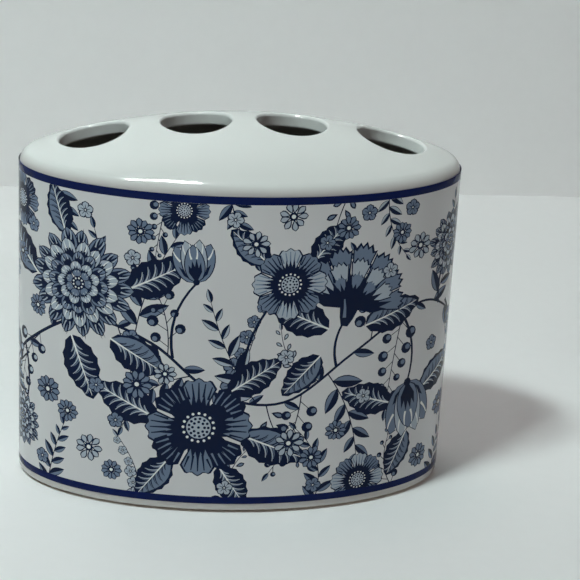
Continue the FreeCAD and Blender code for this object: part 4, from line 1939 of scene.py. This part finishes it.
def wrap_tree(inks: dict[Ink, Finish]) -> Tree:
    """Geometry tree that wraps a flat sheet round an oval wall and inks its faces.

    Args:
        inks: the material of each ink.

    Returns:
        The tree.
    """
    tree, given = shape_tree("print_wrap", ("Half Length", "Half Depth", "Base Height"))

    def named(name: str, kind: str) -> Socket:
        """Output of a stored attribute."""
        return put(tree, "GeometryNodeInputNamedAttribute", {"Name": name}, data_type=kind)["Attribute"]

    def joined(operation: str, inputs: dict) -> Socket:
        """Result of one Vector Math node."""
        return put(tree, "ShaderNodeVectorMath", inputs, operation=operation)[0]

    turn = named("angle", "FLOAT")
    sine = sum_of(tree, "SINE", turn)
    cosine = sum_of(tree, "MULTIPLY", sum_of(tree, "COSINE", turn), -1.0)
    wall = put(tree, "ShaderNodeCombineXYZ", {
        0: sum_of(tree, "MULTIPLY", sine, given["Half Length"]),
        1: sum_of(tree, "MULTIPLY", cosine, given["Half Depth"]),
        2: sum_of(tree, "ADD", place_parts(tree)[1], given["Base Height"])})
    slope = put(tree, "ShaderNodeCombineXYZ", {
        0: sum_of(tree, "MULTIPLY", sine, given["Half Depth"]),
        1: sum_of(tree, "MULTIPLY", cosine, given["Half Length"])})
    normal = joined("NORMALIZE", {0: slope[0]})
    raised = joined("SCALE", {0: normal, "Scale": named("lift", "FLOAT")})
    place = joined("ADD", {0: wall[0], 1: raised})
    wrapped = put(tree, "GeometryNodeSetPosition", {"Geometry": given["Geometry"], "Position": place})
    smooth = put(tree, "GeometryNodeSetShadeSmooth", {"Geometry": wrapped[0]})
    last = put(tree, "GeometryNodeRealizeInstances", {"Geometry": smooth[0]})[0]
    shown = named("ink", "INT")
    for ink, finish in inks.items():
        same = put(tree, "FunctionNodeCompare", {2: shown, 3: ink.value}, data_type="INT", operation="EQUAL")
        last = put(tree, "GeometryNodeSetMaterial",
                   {"Geometry": last, "Selection": same[0], "Material": finish})[0]
    put(tree, "NodeGroupOutput", {0: last})
    return tree


@dataclass
class PrintSheet:
    """One floral sheet on half of the wall: a thin closed film whose face is cut along the drawing."""

    name: str
    node: str
    facing_back: bool = False
    thickness: float = 0.15 * MM
    strips_across: int = 110
    seam_half_gap: float = 0.2

    def __post_init__(self) -> None:
        """Read the sheet's box from the frame. The sizes of the flat sheet are in millimetres."""
        self.span = Span.of(self.node)
        wall = Span.of("ceramic_body")
        self.lift = self.span.half_length - wall.half_length
        self.oval = Oval(wall.half_length, wall.half_depth)
        self.height = self.span.height / MM
        quarter_length = float(self.oval.length_at(np.array([RIGHT_ANGLE]))[0])
        self.half_width = quarter_length / MM - self.seam_half_gap

    def drawing(self) -> Drawing:
        """Drawing of this sheet, with what reaches over both seams from the other one.

        The back's plants always come first, so that the two sheets agree along the seams.

        Returns:
            The drawing.
        """
        half_round = 2 * (self.half_width + self.seam_half_gap)
        over = (-half_round, half_round)
        whole = Drawing()
        for pattern, at_back in ((BACK_PATTERN, True), (FRONT_PATTERN, False)):
            for shift in (0.0,) if at_back == self.facing_back else over:
                whole.place(pattern.draw(), complex(shift, 0))
        near = []
        for ink, outline in whole.patches:
            along = [point.real for point in outline]
            if max(along) > -self.half_width and min(along) < self.half_width:
                near.append((ink, outline))
        return Drawing(near)

    def strips(self) -> np.ndarray:
        """Places of the upright lines that let the sheet bend, with both ends.

        Returns:
            The places, from left to right.
        """
        turns = np.linspace(-RIGHT_ANGLE, RIGHT_ANGLE, self.strips_across + 1)
        lines = self.oval.length_at(turns) / MM
        lines[0], lines[-1] = -self.half_width, self.half_width
        return lines

    def ink_of(self, middles: np.ndarray, drawing: Drawing) -> np.ndarray:
        """Ink of the topmost patch over each place.

        Args:
            middles: rows of x and y.
            drawing: the drawing.

        Returns:
            The ink's number for each place.
        """
        inks = np.zeros(len(middles), int)
        order = np.argsort(middles[:, 0])
        along = middles[order, 0]
        for ink, outline in drawing.patches:
            loop = np.array([(point.real, point.imag) for point in outline])
            low, high = loop.min(axis=0), loop.max(axis=0)
            near = order[slice(*np.searchsorted(along, [low[0], high[0]]))]
            near = near[(middles[near, 1] > low[1]) & (middles[near, 1] < high[1])]
            if len(near):
                inks[near[inside(middles[near], loop)]] = ink.value
        return inks

    def cut(self, drawing: Drawing) -> tuple[np.ndarray, np.ndarray, np.ndarray]:
        """Cut the sheet along the outlines that show, and along the strips.

        Args:
            drawing: the drawing.

        Returns:
            Places, triangles and the ink of each triangle.
        """
        wide, high = self.half_width, self.height
        border = [complex(-wide, 0), complex(wide, 0), complex(wide, high), complex(-wide, high)]
        loops = [border] + [outline for _, outline in drawing.patches]
        places = [Vector((point.real, point.imag)) for loop in loops for point in loop]
        edges = loop_edges([len(loop) for loop in loops])
        for line in self.strips()[1:-1]:
            edges.append((len(places), len(places) + 1))
            places += [Vector((line, 0)), Vector((line, high))]
        places, triangles = self.pieces(places, edges)
        inks = self.ink_of(places[triangles].mean(axis=1), drawing)
        places, triangles = self.pieces(*self.borders(places, triangles, inks))
        return places, triangles, self.ink_of(places[triangles].mean(axis=1), drawing)

    def pieces(self, places: Sequence[Vector], edges: Edges) -> tuple[np.ndarray, np.ndarray]:
        """Triangles of the sheet, with every given edge kept.

        Args:
            places: points of the plane.
            edges: pairs of points, which may cross.

        Returns:
            Places, with the crossings added, and the triangles inside the border.
        """
        flat, triangles = cut_plane(places, edges, CROSSING_GAP)
        middles = flat[triangles].mean(axis=1)
        upright = (middles[:, 1] > 0) & (middles[:, 1] < self.height)
        return flat, triangles[(np.abs(middles[:, 0]) < self.half_width) & upright]

    def borders(self, places: np.ndarray, triangles: np.ndarray,
                inks: np.ndarray) -> tuple[np.ndarray, np.ndarray]:
        """Edges worth keeping: between two inks, on a strip line or on the border.

        Args:
            places: rows of x and y.
            triangles: rows of three places.
            inks: ink of each triangle.

        Returns:
            The places that these edges use, and the edges.
        """
        sides = sides_of(triangles)
        sides.sort(axis=1)
        order = np.lexsort((sides[:, 1], sides[:, 0]))
        sides, owner = sides[order], np.tile(inks, 3)[order]
        same = (sides[1:] == sides[:-1]).all(axis=1)
        twin = np.concatenate([same, [False]])
        second = np.concatenate([[False], same])
        differs = np.concatenate([same & (owner[1:] != owner[:-1]), [False]])
        lines = self.strips()
        near = np.abs(places[:, 0][:, None] - lines[None]).argmin(axis=1)
        on_line = np.abs(places[:, 0] - lines[near]) < ON_LINE
        upright = on_line[sides].all(axis=1) & (near[sides[:, 0]] == near[sides[:, 1]])
        kept = sides[~second & (differs | ~twin | upright)]
        used, numbers = np.unique(kept, return_inverse=True)
        return places[used], numbers.reshape(kept.shape)

    def film(self, drawing: Drawing) -> Piece:
        """Make the flat closed film, with its attributes.

        Args:
            drawing: the drawing.

        Returns:
            The object, still flat.
        """
        places, triangles, inks = self.cut(drawing)
        count = len(places)
        sides = sides_of(triangles)
        _, first, counts = np.unique(np.sort(sides, axis=1), axis=0, return_index=True, return_counts=True)
        rim = sides[first[counts == 1]]
        rim_places = np.unique(rim)
        back_number = np.full(count, -1)
        back_number[rim_places] = count + np.arange(len(rim_places))
        back, back_faces = self.back_triangles(places[rim_places])
        walls = np.column_stack([rim[:, 1], rim[:, 0], back_number[rim[:, 0]], back_number[rim[:, 1]]])
        flat = np.concatenate([places, back])
        faces = [tuple(int(i) for i in face) for face in (*triangles, *walls, *(count + back_faces))]
        mesh = bpy.data.meshes.new(self.name)
        mesh.from_pydata(np.column_stack([flat * MM, np.zeros(len(flat))]).tolist(), [], faces)
        lift = np.full(len(flat), self.lift)
        lift[count:] -= self.thickness
        angle = self.oval.angle_at(flat[:, 0] * MM) + (math.pi if self.facing_back else 0)
        face_ink = np.concatenate([inks, np.zeros(len(walls) + len(back_faces), int)])
        stored = (("angle", "FLOAT", "POINT", angle), ("lift", "FLOAT", "POINT", lift),
                  ("ink", "INT", "FACE", face_ink))
        for name, kind, domain, values in stored:
            mesh.attributes.new(name, kind, domain).data.foreach_set("value", values.tolist())
        return add_object(self.name, mesh)

    def back_triangles(self, rim: np.ndarray) -> tuple[np.ndarray, np.ndarray]:
        """Coarse triangles of the film's back, turned to face away from its front.

        Args:
            rim: places of the film's rim.

        Returns:
            The rim's places, and the triangles between them.
        """
        edges = []
        for line in self.strips()[1:-1]:
            low, high = (int(np.linalg.norm(rim - [line, level], axis=1).argmin())
                         for level in (0.0, self.height))
            edges.append((low, high))
        places, triangles = cut_plane(rim, edges, BACK_GAP)
        if len(places) != len(rim):
            raise RuntimeError(f"{self.name}: the back gained points")
        return places, triangles[:, ::-1]

    def build(self, inks: dict[Ink, Finish]) -> None:
        """Draw, cut and wrap the sheet and put it on its body.

        Args:
            inks: the material of each ink.
        """
        piece = self.film(self.drawing())
        run_tree(piece, wrap_tree(inks), {
            "Half Length": self.oval.half_length,
            "Half Depth": self.oval.half_depth,
            "Base Height": self.span.low.z})
        self.smooth(piece.data)
        settle(piece, Body.HOLDER, "floral_print", self.node)

    def smooth(self, mesh: bpy.types.Mesh) -> None:
        """Give the front and the back of the film the wall's own normals.

        Args:
            mesh: the wrapped mesh.
        """
        corners = np.zeros(len(mesh.loops), int)
        mesh.loops.foreach_get("vertex_index", corners)
        angle = np.zeros(len(mesh.vertices))
        mesh.attributes["angle"].data.foreach_get("value", angle)
        flat = np.zeros(len(mesh.polygons) * 3)
        mesh.polygons.foreach_get("normal", flat)
        totals = np.zeros(len(mesh.polygons), int)
        mesh.polygons.foreach_get("loop_total", totals)
        face_normals = np.repeat(flat.reshape(-1, 3), totals, axis=0)
        walls = self.oval.normals(angle)[corners]
        facing = (face_normals * walls).sum(axis=1)
        normals = np.where(np.abs(facing)[:, None] > FACE_ON, walls * np.sign(facing)[:, None], face_normals)
        mesh.normals_split_custom_set(normals.tolist())


def pad_tree(finish: Finish) -> Tree:
    """Geometry tree that sets a pad at each corner of a rectangle.

    Args:
        finish: material of the pads.

    Returns:
        The tree.
    """
    tree, given = shape_tree("pad_corners", ("Length", "Depth"))
    grid = put(tree, "GeometryNodeMeshGrid",
               {"Size X": given["Length"], "Size Y": given["Depth"], "Vertices X": 2, "Vertices Y": 2})
    placed = put(tree, "GeometryNodeInstanceOnPoints", {"Points": grid[0], "Instance": given["Geometry"]})
    return end_tree(tree, placed[0], finish)


@dataclass
class FootPads:
    """Four round rubber pads under the foot ring."""

    nodes: tuple[str, ...] = ("foot_pad_front_left", "foot_pad_front_right", "foot_pad_rear_left",
                              "foot_pad_rear_right")
    edge_radius: float = 0.25 * MM
    top_edge_radius: float = 0.05 * MM
    sides: int = 48
    edge_steps: int = 4
    top_edge_steps: int = 1

    def build(self, finish: Finish) -> None:
        """Build the pads and put them on their body.

        Args:
            finish: finish of the pads.
        """
        spans = [Span.of(node) for node in self.nodes]
        middles = [(span.low + span.high) / 2 for span in spans]
        low, high = spans[0].low.z, spans[0].high.z
        side = Wall.round(spans[0].half_length, self.sides)
        skin = Skin()
        rings = side.rounding(self.edge_radius, low, OUT, DOWN, self.edge_steps, from_wall=False)
        rings += side.rounding(self.top_edge_radius, high, OUT, UP, self.top_edge_steps)
        first, last = skin.run(rings)
        close_disc(skin, first, low, DOWN)
        close_disc(skin, last, high, UP)
        piece = skin.make("foot_pads", ())
        run_tree(piece, pad_tree(finish), {
            "Length": 2 * max(middle.x for middle in middles),
            "Depth": 2 * max(middle.y for middle in middles)})
        settle(piece, Body.HOLDER, "pad_rubber", *self.nodes)


def close_disc(skin: Skin, ring: np.ndarray, level: float, facing: float) -> None:
    """Close a level ring about the Z axis with two inner rings and a fan.

    Args:
        skin: the skin to add to.
        ring: numbers of the ring.
        level: height of the disc.
        facing: UP or DOWN, the way that the disc faces.
    """
    rim = np.concatenate(skin.points)[ring]
    centre = rim.mean(axis=0)
    centre[2] = level
    normal = np.array([0.0, 0.0, facing])
    _, inner = skin.run([(centre + (rim - centre) * share, normal) for share in DISC_SHARES], ring)
    middle = int(skin.add(centre[None], normal)[0])
    skin.cover(np.column_stack([inner, np.roll(inner, -1), np.full(len(inner), middle)]))


@dataclass
class DrainStopper:
    """Soft stopper: a dished flange with a grip rib under a hollow stem."""

    node: str = "drain_stopper"
    stem_radius: float = 10.95 * MM
    flange_thickness: float = 1.6 * MM
    stem_wall: float = 2.6 * MM
    lead_in: float = 1.0 * MM
    lead_edge: float = 0.1 * MM
    stem_foot: float = 0.3 * MM
    bore_edge: float = 0.3 * MM
    bore_corner: float = 0.6 * MM
    dish_depth: float = 0.8 * MM
    dish_edge: float = 0.2 * MM
    rib_width: float = 3.0 * MM
    dish_corner: float = 1.0 * MM
    soft_edge: float = 0.35 * MM
    pitch: float = 1.6 * MM
    margin: float = 0.7 * MM
    sides: int = 96
    rib_steps: int = 12
    arc_steps: int = 44
    corner_steps: int = 8
    edge_steps: int = 4
    fine_steps: int = 3

    def dish_wall(self, side: int) -> Wall:
        """Half-round wall of the dish on one side of the rib.

        Args:
            side: 1 for the half behind the rib, -1 for the one in front of it.

        Returns:
            The wall, whose normals point out of the dish.
        """
        radius, corner = self.stem_radius - self.stem_wall, self.dish_corner
        level = self.rib_width / 2 + corner
        reach = math.sqrt((radius - corner) ** 2 - level ** 2)
        slope = math.atan2(level, reach)
        rows = []
        arcs = (((0.0, 0.0), radius, slope, math.pi - slope, self.arc_steps),
                ((-reach, level), corner, math.pi - slope, 1.5 * math.pi, self.corner_steps),
                ((reach, level), corner, -0.5 * math.pi, slope, self.corner_steps))
        for centre, size, start, end, steps in arcs:
            for step in range(steps + 1):
                turn = start + (end - start) * step / steps
                unit = (math.cos(turn), math.sin(turn))
                if step or size == radius:
                    rows.append((centre[0] + size * unit[0], centre[1] + size * unit[1], *unit))
                elif centre[0] > 0:
                    for share in range(1, self.rib_steps + 1):
                        rows.append((-reach + 2 * reach * share / self.rib_steps, level - corner, 0.0, -1.0))
        table = np.array(rows[:-1]) * (1, side, 1, side)
        level = np.zeros(len(table))
        return Wall(np.column_stack([table[:, :2], level]), np.column_stack([table[:, 2:], level]))

    def build(self, finish: Finish) -> None:
        """Build the stopper and put it on its body.

        Args:
            finish: finish of the stopper.
        """
        span = Span.of(self.node)
        low, high = span.low.z, span.high.z
        seat = low + self.flange_thickness
        flange = Wall.round(span.half_length, self.sides)
        stem = Wall.round(self.stem_radius, self.sides)
        bore = Wall.round(self.stem_radius - self.stem_wall, self.sides)
        up = np.array([0.0, 0.0, 1.0])
        chamfer = (stem.out + up) / math.sqrt(2)
        top = high - self.lead_in
        rings = flange.rounding(self.soft_edge, low, OUT, DOWN, self.edge_steps, from_wall=False)
        rings += flange.rounding(self.soft_edge, seat, OUT, UP, self.edge_steps)
        rings += stem.rounding(self.stem_foot, seat, OUT, UP, self.fine_steps, from_wall=False, hollow=True)
        rings += [(stem.ring(0.0, top - self.lead_edge), stem.out), (stem.ring(0.0, top), chamfer),
                  (stem.ring(self.lead_in, high), chamfer),
                  (stem.ring(self.lead_in + self.lead_edge, high), up)]
        rings += bore.rounding(self.bore_edge, high, IN, UP, self.fine_steps, from_wall=False)
        rings += bore.rounding(self.bore_corner, seat, IN, UP, self.edge_steps, hollow=True)
        skin = Skin()
        underside, last = skin.run(rings)
        close_disc(skin, last, seat, UP)
        mouths = []
        for side in (1, -1):
            dish = self.dish_wall(side)
            rings = dish.rounding(self.dish_edge, low, IN, DOWN, self.fine_steps, from_wall=False)
            rings += dish.rounding(2 * self.dish_edge, low + self.dish_depth, IN, DOWN, self.fine_steps,
                                   hollow=True)
            mouth, foot = skin.run(rings)
            mouths.append(mouth)
            skin.patch(foot, [], Flat(low + self.dish_depth), DOWN, self.pitch, self.margin)
        skin.patch(underside, mouths, Flat(low), DOWN, self.pitch, self.margin)
        piece = skin.make("stopper_plug", (finish,))
        settle(piece, Body.STOPPER, "stopper_rubber", self.node)


# Setting


@dataclass(frozen=True)
class PhotoCamera:
    """Camera at the photograph's place, in millimetres, radians and pixels."""

    place: Place = (-46.7, -522.6, 264.4)
    yaw: float = 0.119
    pitch: float = 0.375
    roll: float = 0.055
    focal: float = 1912.8
    frame_size: int = 580
    sensor: float = 36.0

    def axes(self) -> tuple[Vector, Vector, Vector]:
        """Directions to the right, up and forwards in the picture.

        Returns:
            The three directions.
        """
        ahead = Vector((math.sin(self.yaw) * math.cos(self.pitch), math.cos(self.yaw) * math.cos(self.pitch),
                        -math.sin(self.pitch)))
        level = Vector((math.cos(self.yaw), -math.sin(self.yaw), 0.0))
        steep = level.cross(ahead)
        right = math.cos(self.roll) * level + math.sin(self.roll) * steep
        up = -math.sin(self.roll) * level + math.cos(self.roll) * steep
        return right, up, ahead

    def ground_at(self, across: float, down: float) -> Vector:
        """Place on the floor that a pixel shows.

        Args:
            across: pixels from the left edge.
            down: pixels from the top edge.

        Returns:
            The place, in metres.
        """
        right, up, ahead = self.axes()
        half = self.frame_size / 2
        ray = self.focal * ahead + (across - half) * right - (down - half) * up
        start = Vector(self.place) * MM
        return start + ray * (-start.z / ray.z)

    def build(self) -> None:
        """Make the camera and look through it."""
        right, up, ahead = self.axes()
        data = bpy.data.cameras.new("photo_camera")
        data.sensor_width = self.sensor
        data.lens = self.sensor * self.focal / self.frame_size
        camera = add_object("photo_camera", data)
        turn = Matrix((right, up, -ahead)).transposed().to_4x4()
        camera.matrix_world = Matrix.Translation(Vector(self.place) * MM) @ turn
        bpy.context.scene.camera = camera


@dataclass(frozen=True)
class SoftLamp:
    """Flat area lamp that points at a place. It lights the holder, shows in its gloss, or both."""

    name: str
    place: Place
    width: float
    depth: float
    watts: float
    colour: Colour = (1.0, 1.0, 1.0)
    aim: Place = (0.0, 0.0, 0.05)
    spin: float = 0.0
    lights: bool = True
    glints: bool = False

    def build(self) -> None:
        """Make the lamp."""
        data = bpy.data.lights.new(self.name, "AREA")
        data.shape = "RECTANGLE"
        data.size = self.width
        data.size_y = self.depth
        data.energy = self.watts
        data.color = self.colour
        lamp = add_object(self.name, data)
        lamp.location = self.place
        facing = (Vector(self.aim) - Vector(self.place)).to_track_quat("-Z", "Y")
        lamp.rotation_euler = (facing @ Quaternion((0.0, 0.0, 1.0), self.spin)).to_euler()
        lamp.visible_diffuse = self.lights
        lamp.visible_glossy = self.glints


def clear_from_behind(material: Finish) -> Finish:
    """Let a stage sheet be seen only from its front, and let lamps behind it shine through.

    It hides nothing in views from behind it, such as those of the underside.

    Args:
        material: the sheet's material.

    Returns:
        The same material.
    """
    tree = material.node_tree
    out = next(node for node in tree.nodes if node.type == "OUTPUT_MATERIAL")
    shader = out.inputs["Surface"].links[0].from_socket
    back = put(tree, "ShaderNodeNewGeometry")["Backfacing"]
    shadow = put(tree, "ShaderNodeLightPath")["Is Shadow Ray"]
    either = sum_of(tree, "MAXIMUM", back, shadow)
    clear = put(tree, "ShaderNodeBsdfTransparent")[0]
    mix = put(tree, "ShaderNodeMixShader", {0: either, 1: shader, 2: clear})
    tree.links.new(mix[0], out.inputs["Surface"])
    return material


@dataclass
class Setting:
    """Pale floor and wall, soft lamps, dark surroundings and the camera.

    The floor meets the wall along the line that two pixels at the photograph's left and right edges show.
    """

    camera: PhotoCamera = field(default_factory=PhotoCamera)
    floor_colour: Colour = srgb(237, 239, 238)
    wall_colour: Colour = srgb(237, 238, 237)
    fold_left: int = 186
    fold_right: int = 197
    side_reach: float = 3.0
    wall_height: float = 2.5
    floor_front: float = 4.0
    floor_back: float = 2.0
    stage_mottle: float = 0.97
    stage_roughness: float = 0.7
    stage_grain: float = 0.1
    horizon: Colour = (0.01, 0.009, 0.009)
    zenith: Colour = (0.012, 0.011, 0.011)
    mirrored: Colour = (0.32, 0.32, 0.32)
    seen: Colour = (0.55, 0.56, 0.56)
    lamps: tuple[SoftLamp, ...] = (
        SoftLamp("room_lamp", (-0.364, -0.315, 0.926), 0.172, 0.086, 6.25, (0.86, 1.0, 0.99)),
        SoftLamp("rear_lamp", (-0.10, 0.12, 0.95), 0.2, 0.2, 0.4, (1.0, 0.6, 0.6)),
        SoftLamp("far_lamp", (0.60, -2.20, 1.70), 0.8, 0.8, 4.8, (1.0, 0.70, 0.70)),
        SoftLamp("lamp_below", (0.0, 0.0, -0.6), 0.04, 0.04, 0.5),
        SoftLamp("ceiling_tube", (-0.315, -0.28, 1.10), 0.6, 0.06, 17.0, aim=(-0.315, -0.28, 0.0), spin=0.76,
                 lights=False, glints=True),
        SoftLamp("ceiling_bulb", (-0.17, -0.30, 1.05), 0.12, 0.12, 11.0, lights=False, glints=True),
    )

    def sheet(self, name: str, corners: Sequence[Vector], colour: Colour) -> Piece:
        """Make one flat sheet of the stage.

        Args:
            name: name of the sheet.
            corners: its four corners in order.
            colour: its colour.

        Returns:
            The object.
        """
        mesh = bpy.data.meshes.new(name)
        mesh.from_pydata([tuple(corner) for corner in corners], [], [(0, 1, 2, 3)])
        worn = tuple(self.stage_mottle * part for part in colour)
        finish = Matte(name, colour, worn, self.stage_roughness, self.stage_grain).make()
        mesh.materials.append(clear_from_behind(finish))
        return add_object(name, mesh)

    def build(self) -> None:
        """Make the stage, the lamps, the world and the camera."""
        left = self.camera.ground_at(0, self.fold_left)
        right = self.camera.ground_at(self.camera.frame_size, self.fold_right)
        along = (right - left).normalized()
        start, end = left - self.side_reach * along, right + self.side_reach * along
        start.z = end.z = 0.0
        away = Vector((0.0, 0.0, self.wall_height))
        forward = Vector((along.y, -along.x, 0.0))
        front, back = forward * self.floor_front, forward * -self.floor_back
        floor = self.sheet("floor", (start + back, start + front, end + front, end + back), self.floor_colour)
        wall = self.sheet("wall", (start, end, end + away, start + away), self.wall_colour)
        for lamp in self.lamps:
            lamp.build()
        bpy.context.scene.world = self.room()
        bpy.context.scene.view_settings.view_transform = "Standard"
        self.camera.build()

    def room(self) -> bpy.types.World:
        """Make the world: nearly dark for the object, grey in its gloss and pale behind it.

        Returns:
            The world.
        """
        world = bpy.data.worlds.new("room")
        world.use_nodes = True
        tree = world.node_tree
        direction = put(tree, "ShaderNodeTexCoord")["Generated"]
        height = put(tree, "ShaderNodeSeparateXYZ", {0: direction})[2]
        share = put(tree, "ShaderNodeMapRange", {0: height})[0]
        tone = colour_mix(tree, share, self.horizon, self.zenith)
        rays = put(tree, "ShaderNodeLightPath")
        tone = colour_mix(tree, rays["Is Glossy Ray"], tone, self.mirrored)
        tone = colour_mix(tree, rays["Is Camera Ray"], tone, self.seen)
        tree.links.new(tone, tree.nodes["Background"].inputs["Color"])
        return world


def main() -> None:
    """Build the setting and every piece."""
    logging.basicConfig(level=logging.INFO, format="%(name)s: %(message)s")
    Setting().build()
    skin = GlazeSkin().make()
    inks = {ink: finish.make(skin) for ink, finish in PRINT_FINISHES.items()}
    CeramicShell().build(WHITE_GLAZE.make(skin), BISCUIT_AND_PAINTED_SHADE.make(), DARKER_CAVITY_GLAZE.make(skin))
    NavyBands().build(NAVY_BAND.make(skin))
    PrintSheet("front_film", "front_print").build(inks)
    PrintSheet("back_film", "back_print", facing_back=True).build(inks)
    FootPads().build(PAD_RUBBER.make())
    DrainStopper().build(STOPPER_RUBBER.make())
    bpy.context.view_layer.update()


if __name__ == "__main__":
    main()
